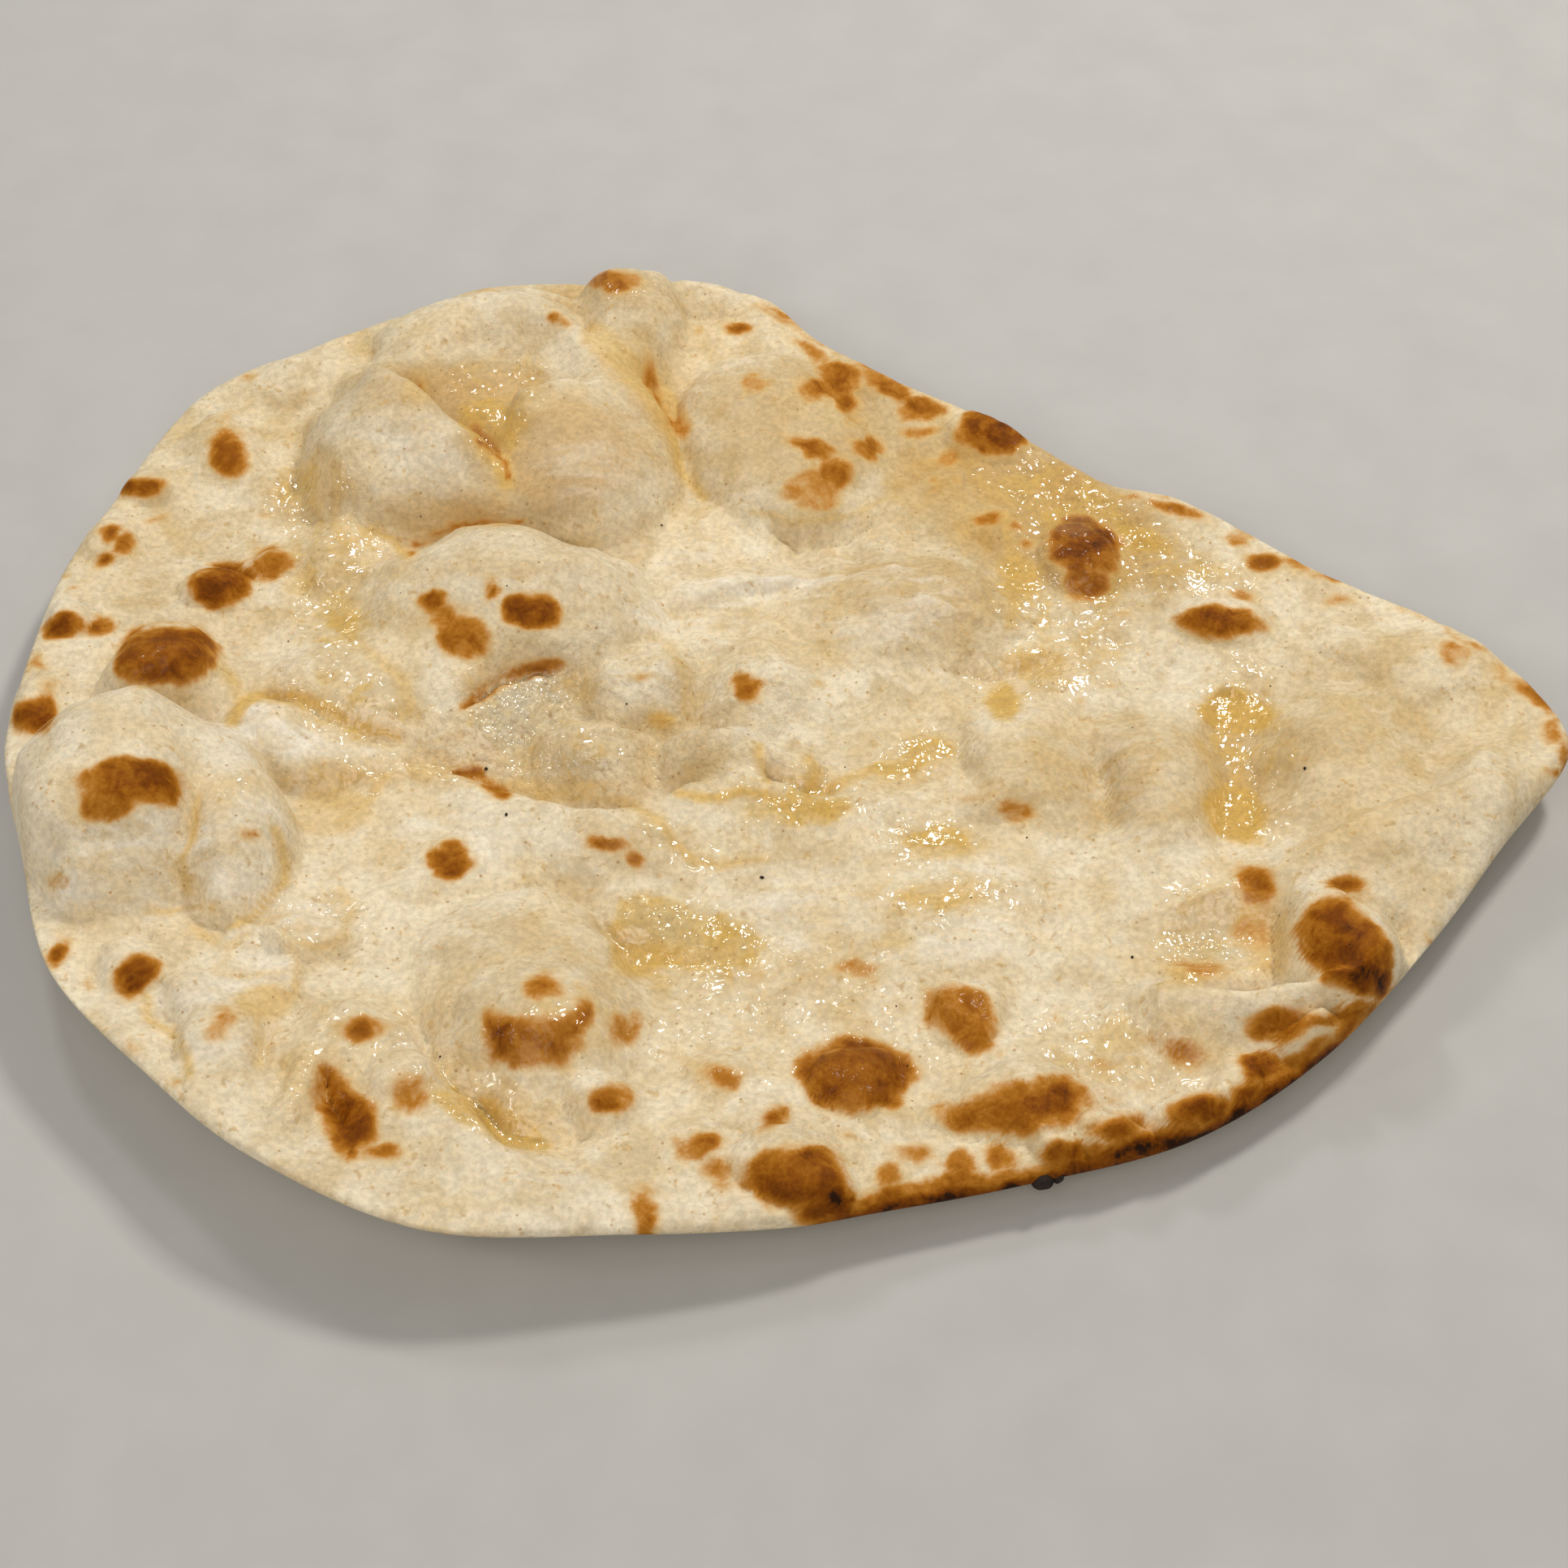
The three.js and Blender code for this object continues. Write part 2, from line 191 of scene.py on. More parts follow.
@dataclass(frozen=True)
class Patch:
    """A patch painted on the crust, where the eye sees it.

    Args:
        x: Middle, along the bread.
        y: Middle, across the bread.
        length: Whole length along its slant.
        breadth: Whole breadth.
        tone: How strong it is in the middle.
        slant: Turn of its length, in degrees.
    """

    x: float
    y: float
    length: float
    breadth: float
    tone: float
    slant: float = 0.0

    def strength(self, px: np.ndarray, py: np.ndarray, softness: float, fall: float = 0.0) -> np.ndarray:
        """Strength at each place, full inside and fading over a soft edge.

        Args:
            px: Places along the bread, as seen.
            py: Places across the bread, as seen.
            softness: Width of the fading edge.
            fall: How much weaker it is at its edge than in its middle.

        Returns:
            The strength at each place.
        """
        angle = math.radians(self.slant)
        along = (px - self.x) * math.cos(angle) + (py - self.y) * math.sin(angle)
        across = (py - self.y) * math.cos(angle) - (px - self.x) * math.sin(angle)
        half_length, half_breadth = self.length / 2, self.breadth / 2
        reach = np.hypot(along / half_length, across / half_breadth)
        inside = (1.0 - reach) * min(half_length, half_breadth)
        core = 1.0 - fall * np.minimum(reach, 1.0) ** 2
        return float(self.tone) * core * smooth_step(inside / softness + 0.5)


def patches(*rows: tuple) -> tuple[Patch, ...]:
    """One patch for each row of its values."""
    return tuple(Patch(*row) for row in rows)


def toned_patches(tone: Tone, *rows: tuple) -> tuple[Patch, ...]:
    """Patches that share one tone, which their rows leave out."""
    return tuple(Patch(*row[:4], tone, *row[4:]) for row in rows)


@dataclass(frozen=True)
class Stroke:
    """A band painted on the crust along a line, where the eye sees it.

    Args:
        route: The places that the line runs through.
        breadth: Whole breadth.
        tone: How strong it is in the middle.
    """

    route: tuple
    breadth: float
    tone: float

    def strength(self, px: np.ndarray, py: np.ndarray, softness: float, fall: float = 0.0) -> np.ndarray:
        """Strength at each place, full inside and fading over a soft edge.

        Args:
            px: Places along the bread, as seen.
            py: Places across the bread, as seen.
            softness: Width of the fading edge.
            fall: How much weaker it is at its edge than in its middle.

        Returns:
            The strength at each place.
        """
        nearest = np.full(px.shape, np.inf)
        for (ax, ay), (bx, by) in zip(self.route[:-1], self.route[1:]):
            dx, dy = bx - ax, by - ay
            t = np.clip(((px - ax) * dx + (py - ay) * dy) / (dx * dx + dy * dy), 0.0, 1.0)
            nearest = np.minimum(nearest, np.hypot(px - ax - t * dx, py - ay - t * dy))
        core = 1.0 - fall * np.minimum(nearest / (self.breadth / 2), 1.0) ** 2
        return float(self.tone) * core * smooth_step((self.breadth / 2 - nearest) / softness + 0.5)


@dataclass(frozen=True)
class Seam:
    """A browned line at the bottom of a crease, laid out in space, so that steep walls don't widen it.

    Args:
        route: The points that the line runs through.
        breadth: Whole breadth.
        tone: How strong it is in the middle.
    """

    route: tuple
    breadth: float
    tone: float

    def strength(self, points: np.ndarray, softness: float) -> np.ndarray:
        """Strength at each point, full inside and fading over a soft edge.

        Args:
            points: Points in the bread.
            softness: Width of the fading edge.

        Returns:
            The strength at each point.
        """
        nearest = np.full(len(points), np.inf)
        for start, end in zip(np.array(self.route[:-1], float), np.array(self.route[1:], float)):
            run = end - start
            t = np.clip((points - start) @ run / (run @ run), 0.0, 1.0)
            nearest = np.minimum(nearest, np.linalg.norm(points - start - t[:, None] * run, axis=1))
        return float(self.tone) * smooth_step((self.breadth / 2 - nearest) / softness + 0.5)


def smooth_step(share: np.ndarray) -> np.ndarray:
    """An even rise from 0 to 1."""
    held = np.clip(share, 0.0, 1.0)
    return held * held * (3.0 - 2.0 * held)


def smooth_larger(a: np.ndarray, b: np.ndarray, rounding: float) -> np.ndarray:
    """The larger of two heights, with the corner between them rounded off."""
    share = np.clip(0.5 + 0.5 * (b - a) / rounding, 0.0, 1.0)
    return a + (b - a) * share + rounding * share * (1.0 - share)


class Grain:
    """Smooth seeded noise in space, from about -1 to 1, for what the dough does by chance."""

    TABLE_SIZE = 256
    GAIN = 1.6

    def __init__(self, seed: int) -> None:
        """Draws the lattice's slopes.

        Args:
            seed: Seed of the draw.
        """
        draw = np.random.default_rng(seed)
        self.order = np.tile(draw.permutation(self.TABLE_SIZE), 3)
        slopes = draw.normal(size=(self.TABLE_SIZE, 3))
        self.slopes = slopes / np.linalg.norm(slopes, axis=1, keepdims=True)

    def at(self, points: np.ndarray, size: float) -> np.ndarray:
        """Noise at each point.

        Args:
            points: Points, one a row.
            size: Size of a lump, in the points' unit.

        Returns:
            One value for each point.
        """
        scaled = points / size
        cell = np.floor(scaled).astype(int)
        inside = scaled - cell
        eased = inside ** 3 * (inside * (inside * 6.0 - 15.0) + 10.0)
        cell = cell % self.TABLE_SIZE
        total = np.zeros(len(points))
        for corner in np.ndindex(2, 2, 2):
            x, y, z = (cell + corner).T
            slope = self.slopes[self.order[self.order[self.order[x] + y] + z]]
            weight = np.prod(np.where(corner, eased, 1.0 - eased), axis=1)
            total += weight * np.einsum("ij,ij->i", slope, inside - corner)
        return total * self.GAIN

    def layered(self, points: np.ndarray, size: float, layers: int) -> np.ndarray:
        """Noise with finer layers, each half as large and half as strong as the last."""
        return sum(self.at(points, size / 2 ** i) / 2 ** i for i in range(layers))


class Relief:
    """All that stands up from or sinks into the slab's plain top."""

    PUFF_FILLET = 3.5
    UNEVENNESS = 0.8
    SHORT_WAVES = 0.6
    # The slow waves that pulling leaves: mm to a radian along and across, with the long wave's starts
    LONG_WAVE = ((23, 1.1), (19, -0.4))
    SHORT_WAVE = ((11, -17), (21, 9))
    WARP = 1.2
    # Hollow puffs that ballooned off the slab
    PUFFS = (
        Dome(-121, -16, 21.5, 21, 22, fullness=0.5),
        Dome(-118, -26, 18, 17.5, 15, fullness=0.65),
        Dome(-102, -20, 10, 24, 15, turn=13, fullness=0.6),
        Dome(-59, 90, 37, 35, 12.5, fullness=0.55),
        Dome(-80, 78, 20, 22, 15, turn=20, fullness=0.65),
        Dome(-42, 75, 19, 19, 14.5, fullness=0.65),
        Dome(-62, 114, 27, 13, 11, turn=3, fullness=0.6),
        Dome(-35, 120, 13, 14, 12, fullness=0.6),
        Dome(-36, 108, 11, 12, 8, fullness=0.8),
        Dome(-1, 84, 21, 26, 9, turn=20, fullness=0.6),
        Dome(-56, 37, 31, 21, 16, turn=8, fullness=0.7),
        Dome(-69, 24, 34, 25, 10, turn=20, fullness=0.95),
        Dome(-44, -57, 21, 27, 8, fullness=0.6),
        Dome(100, -50, 11, 14, 10, turn=15, fullness=0.7),
        Dome(70, -6, 16, 25, 7.5, turn=-12, fullness=1.2),
        Dome(47, -4, 15, 19, 6.5, turn=-15, fullness=1.2),
        Dome(104, -3, 17, 20, 7, turn=-25, fullness=1.2),
        Dome(24, 39, 26, 19, 6.5, turn=-5, fullness=1.1),
        Dome(-28, 17, 12, 14, 7, fullness=0.7),
        Dome(-34, 2, 13, 9, 7.5, fullness=0.85),
        Dome(-6, 16, 13, 12, 5.5, fullness=0.8),
        Dome(-12, 0, 13, 9, 7.5, fullness=0.85),
        Dome(-96, 4, 12, 10, 7, fullness=0.7),
        Dome(-79, 1, 15, 6, 4, turn=-10),
        Dome(-86, 54, 13, 13, 6, fullness=0.9),
        Dome(-111, 15, 10, 7, 4, fullness=0.8),
        Dome(24, 66, 26, 12, 3, turn=-20, fullness=0.9),
        Dome(30, -38, 40, 16, 2.5, turn=5, fullness=1.0),
    )
    # Small blisters and shallow hollows
    BLISTERS = (
        Dome(-60, 99, 19, 12, -3.5, fullness=1.0),
        Dome(-112, 41, 8, 7, 4.5, fullness=0.6),
        Dome(-102, 50, 6, 5, 2.5, fullness=0.7),
        Dome(-120, 18, 10.5, 11, 9, fullness=0.6),
        Dome(-135, 56, 6, 7, 3.5),
        Dome(-131, 71, 7, 6, 4),
        Dome(-142, 10, 5, 8, 3.5),
        Dome(-140, 32, 6, 5, 3.5),
        Dome(-116, 82, 9, 12, 3.5),
        Dome(2, -4, 5.5, 5.5, 4, fullness=0.5),
        Dome(13, -8, 5, 4, 2.5, fullness=0.6),
        Dome(-43, -66, 15, 14, 4.5, fullness=0.9),
        Dome(-84, -43, 7.5, 6, 5, fullness=0.6),
        Dome(12, -73, 9, 8.5, 5, fullness=0.7),
        Dome(2, -94, 10, 8, 5, fullness=0.7),
        Dome(42, -80, 16, 8, 4.5, fullness=0.6),
        Dome(60, 54, 8.5, 10, 4.5, fullness=0.75),
        Dome(86, 34, 10, 6, 3.5, turn=-10, fullness=0.8),
        Dome(31, -60, 8, 8, 4, fullness=0.6),
        Dome(-30, -79, 6, 5, 3.5, fullness=0.6),
        Dome(-115, -54, 6, 6, 3.5, fullness=0.6),
        Dome(-62, -27, 8, 8, 2),
        Dome(-33, -22, 12, 8, 2),
        Dome(43, 87, 10, 8, 3, fullness=0.8),
        Dome(77, -42, 14, 9, -4, fullness=1.0),
        Dome(47, -89, 5, 4, 3.5, fullness=0.6),
        Dome(57, -86, 7, 5, 5, fullness=0.6),
        Dome(70, -81, 8, 5, 5, fullness=0.6),
        Dome(79, -76, 5.5, 5, 3.5, fullness=0.6),
        Dome(90, -69, 6, 5, 3, fullness=0.6),
        Dome(-5, -82, 6, 5, 2),
        Dome(-14, -90, 7, 7, 2),
        Dome(-11, -73, 6, 6, 2),
        Dome(57, 20, 9, 7, 2.5),
        Dome(40, -12, 8, 5, 2),
        Dome(124, 22, 14, 10, 2.5),
        Dome(110, 30, 9, 7, 2),
        Dome(-64, -78, 6, 6, 2.5),
        Dome(-81, -80, 4, 10, 2.5, turn=-20),
        Dome(-20, 128, 10, 7, 3),
        Dome(-100, 104, 12, 8, 3, turn=25),
    )
    FOLDS = (
        Fold(((86, -30), (99, -27), (111, -22), (124, -13), (138, -1)), 7, 4, 13),
        Fold(((58, -58), (65, -57), (78, -60), (90, -60), (101, -60)), 7, 2.5, 8),
        Fold(
            (
                (-74, -3), (-60, -7), (-44, -13), (-28, -14), (-11, -10), (5, -13), (16, -12), (28, -8),
            ),
            5, 2.5, 15,
        ),
        Fold(((-84, -60), (-76, -64), (-67, -69), (-59, -78), (-52, -88), (-45, -95)), 5, 2.5, 12),
        Fold(((-86, 98), (-77, 87), (-69, 77), (-60, 66)), 5, 3.5, 14),
        Fold(((-35, 93), (-47, 92), (-55, 87), (-57, 77)), 3, 10, 3),
        Fold(((-64, 117), (-42, 108), (-32, 96), (-25, 80)), 3, 5, 8),
        Fold(((-46, 40), (-38, 41), (-30, 39)), 2, 1.2, 5),
        Fold(((-25, 42), (-14, 43), (-4, 46), (7, 50)), 3, 7, 1.2),
        Fold(((-21, 27), (-12, 26), (-2, 24)), 1.5, 5, 1.2),
        Fold(((-113, -44), (-109, -50), (-108, -56), (-111, -61)), 2, 6, 1.2),
        Fold(((-111, -61), (-106, -65), (-103, -71), (-101, -77)), 3.2, 8, 1.2),
        Fold(
            (
                (-101, -54), (-99, -48), (-96, -44), (-92, -44), (-88, -46), (-86, -52), (-87, -58),
                (-94, -61),
            ),
            3, 1.2, 7,
        ),
        Fold(((-94, -61), (-92, -68), (-92, -79)), 2.4, 1.2, 7),
        Fold(((-80, 101), (-71, 89), (-64, 80), (-58, 71)), -7, 8, 2),
        Fold(((-36, 97), (-48, 96), (-56, 90), (-59, 80)), -4, 3.5, 8),
        Fold(((-78, 55), (-66, 59), (-54, 59), (-38, 57)), -4, 2.5),
        Fold(((-111, -8), (-107, -17), (-107, -26), (-108, -34), (-107, -41)), -4, 2.8),
        Fold(
            (
                (-99, -5), (-84, -6), (-73, 0), (-62, -1), (-54, -6), (-44, -8), (-28, -9), (-12, -5),
            ),
            -3, 3,
        ),
        Fold(((-104, 15), (-96, 14), (-86, 9), (-78, 5), (-70, 3)), -3, 2.5),
        Fold(((-61, 10), (-56, 16), (-50, 20), (-42, 21)), -5, 2),
        Fold(((-62, -2), (-57, -5), (-52, -9)), -3, 1.5),
        Fold(((-18, 29), (-18, 18), (-16, 8)), -2.5, 2.5),
        Fold(((-42, 14), (-34, 8), (-22, 7), (-8, 6)), -2.5, 2.5),
        Fold(((-24, 6), (-23, 0), (-22, -6)), -2.5, 2.5),
        Fold(((-58, -34), (-44, -30), (-34, -33), (-27, -42), (-24, -54)), -3.5, 3),
        Fold(((-66, -60), (-62, -72), (-54, -81), (-46, -87), (-36, -87), (-28, -80)), -4.5, 3.5),
        Fold(((-28, -38), (-20, -45), (-10, -48)), -3, 8),
        Fold(((87, 20), (88, 8), (86, -6), (80, -22)), -6, 6),
        Fold(((58, 8), (60, -6), (58, -18)), -4, 4),
        Fold(((36, 12), (34, 0), (36, -12)), -2.5, 4),
        Fold(((33, 22), (44, 22), (56, 26)), -3, 4),
        Fold(((-30, 108), (-26, 98), (-23, 90)), -4, 3),
        Fold(((-52, 124), (-47, 117), (-42, 110)), -4, 2.5),
        Fold(((-6, 62), (4, 59), (14, 62), (19, 69)), -3, 2),
        Fold(((84, -67), (91, -63), (99, -63)), -4, 2),
        Fold(((110, -36), (111, -50), (107, -59)), -4, 2.5),
        Fold(((90, -38), (89, -48), (84, -55), (70, -55)), -4, 3),
        Fold(((-112, -58), (-105, -68), (-103, -78)), -3.5, 2.5),
        Fold(((-90, -62), (-89, -69), (-89, -77)), -2, 3),
        Fold(((-77, -73), (-75, -80), (-72, -89)), -3, 1.5),
        Fold(((-107, 60), (-102, 72), (-99, 84)), -2.5, 5),
        Fold(((98, 16), (106, 20), (118, 18)), -2, 4),
        Fold(((-20, 50), (-4, 52), (10, 54)), -2, 4),
    )

    def warped(self, px: np.ndarray, py: np.ndarray) -> tuple[np.ndarray, np.ndarray]:
        """Pushes places about a little, so that no form stays a clean ellipse.

        Args:
            px: Places along the bread.
            py: Places across the bread.

        Returns:
            The pushed places.
        """
        along = px + self.WARP * (np.sin(py / 7 + 0.7) + 0.6 * np.sin(px / 5 + py / 9))
        across = py + self.WARP * (np.sin(px / 8 - 0.4) + 0.6 * np.sin(py / 6 - px / 10))
        return along, across

    def height(self, px: np.ndarray, py: np.ndarray, crease_share: float = 1.0) -> np.ndarray:
        """Height of the whole relief.

        Args:
            px: Places along the bread.
            py: Places across the bread.
            crease_share: How much of the creases' depth counts.

        Returns:
            The height at each place.
        """
        wx, wy = self.warped(px, py)
        total = np.zeros(px.shape)
        for puff in self.PUFFS:
            total = smooth_larger(total, puff.rise(wx, wy), self.PUFF_FILLET)
        total = total - self.PUFF_FILLET / 4
        (run_x, start_x), (run_y, start_y) = self.LONG_WAVE
        long_wave = np.sin(px / run_x + start_x) * np.cos(py / run_y + start_y)
        (sine_x, sine_y), (cosine_x, cosine_y) = self.SHORT_WAVE
        short_wave = np.sin(px / sine_x + py / sine_y) * np.cos(py / cosine_y + px / cosine_x)
        total = total + self.UNEVENNESS * (long_wave + self.SHORT_WAVES * short_wave)
        for blister in self.BLISTERS:
            side = np.sign(blister.height)
            total = total + side * np.maximum(0.0, side * blister.rise(wx, wy))
        for fold in self.FOLDS:
            total = total + fold.rise(wx, wy) * (1.0 if fold.height > 0 else crease_share)
        return total


class Rim:
    """The closed line of the bread's edge: how far out it runs, and how high its underside is."""

    SAMPLES = 4000
    # Counter-clockwise from the tip: place along, place across and lift off the table
    POINTS = (
        (148, 3, 8), (142, 17, 8), (127, 35, 6), (106, 49, 5), (85, 66, 5), (66, 74, 5), (46, 91, 5),
        (25, 104, 5), (7, 117, 6), (-4, 128, 8), (-20, 132, 8), (-46, 133, 8), (-66, 132, 8), (-80, 125, 7),
        (-102, 114, 6), (-124, 98, 6), (-137, 66, 7), (-144, 43, 8), (-147, 5, 9), (-144, -12, 10),
        (-139, -27, 10), (-129, -55, 12), (-108, -78, 13), (-88, -95, 14), (-59, -108, 13), (-25, -107, 10),
        (0, -104, 7), (15, -100, 5), (40, -94, 4), (70, -85, 4), (95, -68, 5), (117, -44, 7), (132, -24, 8),
        (146, -6, 8),
    )

    def __init__(self) -> None:
        """Runs one smooth closed curve through the points and measures its length."""
        points = np.array(self.POINTS, float)
        count = len(points)
        place = np.arange(self.SAMPLES) / self.SAMPLES * count
        first = np.floor(place).astype(int)
        t = (place - first)[:, None]
        before, start, end, after = (points[(first + k) % count] for k in (-1, 0, 1, 2))
        slope_in, slope_out = (end - before) / 2, (after - start) / 2
        self.curve = (
            start + slope_in * t
            + (3 * (end - start) - 2 * slope_in - slope_out) * t ** 2
            + (2 * (start - end) + slope_in + slope_out) * t ** 3
        )
        closed = np.vstack([self.curve, self.curve[:1]])
        self.length = np.concatenate([[0.0], np.cumsum(np.linalg.norm(np.diff(closed, axis=0), axis=1))])
        self.curve = closed

    def at(self, share: np.ndarray) -> np.ndarray:
        """Points of the rim at shares of the way round it."""
        run = (share % 1.0) * self.length[-1]
        return np.stack([np.interp(run, self.length, self.curve[:, k]) for k in range(3)], axis=-1)


class Scorching:
    """Where the oven wall scorched the crust, as seen by the eye."""

    SOFTNESS = 3.8
    SEAM_SOFTNESS = 3.5
    TOAST_SOFTNESS = 12.0
    # How much weaker a mark is at its edge than in its middle
    FALL = 0.3
    # Middle along, middle across, length, breadth and slant of each patch, by how far it scorched
    BLACKENED = toned_patches(
        Tone.BLACK,
        (9, -97, 6, 6), (104, -52, 10, 9),
    )
    CHARRED = toned_patches(
        Tone.CHAR,
        (-117, 27, 10, 8), (-121, -7, 16, 4.5), (10, -73, 11, 9), (3, -90, 12, 7), (46, -78, 12, 8, 10),
        (47, 92, 8, 8), (64, 58, 8, 10), (85, 36, 9, 5), (103, -42, 12, 7, 100),
    )
    DARKENED = toned_patches(
        Tone.DARK,
        (-132.5, 73, 10, 6.5), (-112.5, 45, 13, 13), (-142, 34, 7, 7), (-143.5, 11.5, 11, 8, 80),
        (-121, 26.5, 20, 17), (-123, -6, 20, 11, -8), (-70, 40, 7, 6.5), (-50, 38, 12, 10.5, -60),
        (-61.5, -25, 9, 7.5, 120), (-115, -51, 10, 8, 100), (-75, -80, 20, 8.5, -65),
        (-50, -64.5, 12, 7, 100), (-30, -78, 9, 6), (13, -72.5, 20, 16), (2, -93, 18, 14), (9, -101, 15, 9),
        (47, -89, 8, 6), (71, -79.5, 13, 7, 15), (79, -76, 6, 6, 30), (83, -71, 9, 7.5), (44, 90, 17, 15),
        (61, 56, 17, 15, 100), (86, 35, 17, 8.5, -8), (101, -44.5, 23, 16, 105),
    )
    BROWNED = toned_patches(
        Tone.BROWN,
        (-137.5, 60.5, 6, 6), (-133.5, 57, 7, 4.5, 90), (-137, 52.5, 5.6, 5), (-116, 84, 17, 8, -75),
        (-103.5, 51.5, 10, 9), (-135.5, 33.5, 7, 6), (-127, -10, 12, 12, 20), (-115, -9, 6, 6),
        (-67, 36.5, 9, 7, -50), (-63.5, 31.5, 15, 11, -60), (-58.5, 44, 7, 4, 90), (-33, -21, 9, 5, -20),
        (-28, -25, 5, 4, -60), (-7, 18, 9, 7, 120), (-130.5, -46, 6.5, 5, 60), (-74, -63, 9, 5.5),
        (-68, -89, 7, 4), (-43.5, -65.5, 20, 12), (-37, -62.5, 11, 7, 70), (-43, -53.5, 9, 8),
        (-36, -59, 6, 4.5, 90), (-2, -82, 6, 4.5), (-14.5, -87, 9, 5.5), (-23.5, -100, 11, 5.5, 90),
        (31, -60, 17, 12.5, 125), (42, -79, 25, 12, 8), (31, -81, 10, 6), (17, -97, 5, 4),
        (30, -91.5, 8, 7, 90), (37, -89.5, 6.5, 5), (57, -84, 13, 7), (-38, 138, 11, 8), (-50, 126, 5, 4),
        (-10, 123, 7, 4.5, -30), (12, 107, 12, 10), (9, 104, 15, 9, 15), (13, 99, 7, 6, 90),
        (22, 105, 18, 6, -48), (29, 97, 11, 8), (41, 87, 6, 6), (47, 85, 6, 5), (17.5, 84, 8.5, 6, 110),
        (6.5, 85, 13, 6, -35), (11, 77, 10, 6.5, 100), (41, 64, 6, 4), (47.5, 62, 4, 2),
        (60, 47, 14, 9, 80), (80, 67, 12, 4.5, -30), (96.5, 52, 7.5, 6.5), (110, 48, 11, 3.5, -10),
        (145, 16, 13, 5, -50), (147.5, 6, 7, 4, 90), (145, -4, 3, 2.5, 90), (86, -32, 12, 8, 100),
        (103, -31, 8, 5), (86.5, -62, 12, 8, 15),
    )
    AMBERED = toned_patches(
        Tone.AMBER,
        (-77, 105, 5, 3.5, 90), (-70, 136, 14, 2.5, 4), (-118, 108.5, 8, 2.5, 35), (-142, 44, 5, 2.5),
        (-146, 24, 4, 3), (-90, 135, 12, 2.5, 12), (-99.5, -19, 4, 3.5), (-132, -30, 4.5, 4),
        (-28, 20.5, 3, 2), (43, -13, 8, 7), (-99, -62, 8, 6, 90), (-65, -76.5, 10, 9, 90),
        (-27.5, -63, 9, 7, 90), (-10.5, -73, 9, 7), (-10.5, -92, 8, 4.5, -50), (12.5, -50, 8, 4),
        (36.5, -68, 2, 2), (22, -88.5, 10, 5, -10), (17.5, -93, 8, 5, 80), (-7, 105, 7.5, 6.5),
        (6, 115, 13, 6, -50), (-1, 128, 12, 3, -40), (28, 90, 9, 5), (34, 82, 10, 5, 15), (6, 72.5, 14, 13),
        (49, 57, 5, 4.5), (72, 70, 7, 4), (92, 59, 5, 5), (102, 51, 7, 3.5, -20), (91, 42.5, 5, 4),
        (131.5, 26.5, 8, 6, 100), (136, 29, 7, 3.5, -30), (75, -49.5, 11, 5, -15), (70, -68, 9, 6.5, -20),
        (117, -43, 4, 1.5, 90),
    )
    GOLDEN = toned_patches(
        Tone.LIGHT,
        (-129, 64, 7, 3), (-115, 106.5, 4, 4), (-118, 95, 4, 4), (-102.5, 89, 4, 2.5, 90),
        (-106, 65.5, 4, 2.5), (-144, 48, 2.5, 2.5), (-142, 18, 6, 4), (-24, 10, 5, 3, 70), (7, 18.5, 3, 2),
        (35, -10, 10, 3, 10), (-62, 53, 3, 2), (-123.5, -53, 5, 3, 90), (-114, -66, 4, 3, 90),
        (-105, -74, 3, 3), (-47, -94, 2.4, 2.4), (-36, -54, 4, 2, 90), (-4.5, -51, 5, 2.5),
        (46.5, -36.5, 3, 1.5), (48, -61, 3, 2.5), (25.5, -77.5, 4, 2), (11, -84.5, 3, 2.5),
        (-19, 122.5, 5, 3, 90), (14, 93, 6, 5), (30, 76, 3, 3), (36, 76, 3, 3), (33, 53, 3, 2),
        (110, 40, 9, 5, 10), (57, 15, 4, 3, 90), (63, 18, 4, 2, 90), (68, 38, 4, 3), (139, 22, 9, 4.5, 115),
        (85, -42, 10, 9, 90), (66, -65.5, 6, 4.5), (62, -75, 3, 2), (56, -78, 3, 2), (55, -71, 8, 2),
    )
    FAINT = toned_patches(
        Tone.FAINT,
        (38, -4.5, 3, 1.5), (-70, 48, 4, 2, 90), (-91, -56, 5, 5), (-59, -91, 4, 2, 90), (14, -60, 5, 5),
        (-13, 113, 3, 3), (9, 55, 4, 4), (106, 37, 4, 2),
    )

    # Browned creases, the tear, and the rim that burnt against the oven wall; the brown line in the crease
    # under the back puff's overhanging front is partly painted shade
    LINES = (
        Stroke(((-64, 87), (-61, 84), (-58.5, 80), (-57, 76)), 2.4, Tone.BROWN),
        Stroke(((-75, 55), (-72, 59), (-68.5, 61.8), (-61, 63.2), (-54, 63.2)), 1.6, Tone.BROWN),
        Stroke(((-43, 118), (-33, 104), (-29, 97), (-25, 91)), 4, Tone.FAINT),
        Stroke(((-50, 127), (-48, 124)), 4, Tone.AMBER),
        Stroke(((-30, 107), (-26, 99), (-24, 92)), 3, Tone.LIGHT),
        Stroke(((-61, -3), (-57, -5), (-52.5, -9.5)), 2.5, Tone.BROWN),
        Stroke(((-78, -74), (-75, -82), (-72, -89)), 1.5, Tone.BLACK),
        Stroke(((86, -64), (92, -61), (100, -60)), 3, Tone.BROWN),
        Stroke(((12, -101), (40, -95), (70, -86), (96, -68), (104, -61)), 9, Tone.BROWN),
        Stroke(((12, -102), (40, -95.6), (70, -86.6), (97, -68.7)), 6, Tone.BLACK),
        Stroke(((148, 9), (149, 2), (147, -6)), 3, Tone.AMBER),
        Stroke(((-6, 130), (4, 122), (14, 114)), 3, Tone.LIGHT),
        Stroke(((60, 79), (72, 74), (84, 69), (95, 60)), 2.5, Tone.LIGHT),
        Stroke(((112, 49), (124, 39), (134, 30)), 2, Tone.LIGHT),
    )
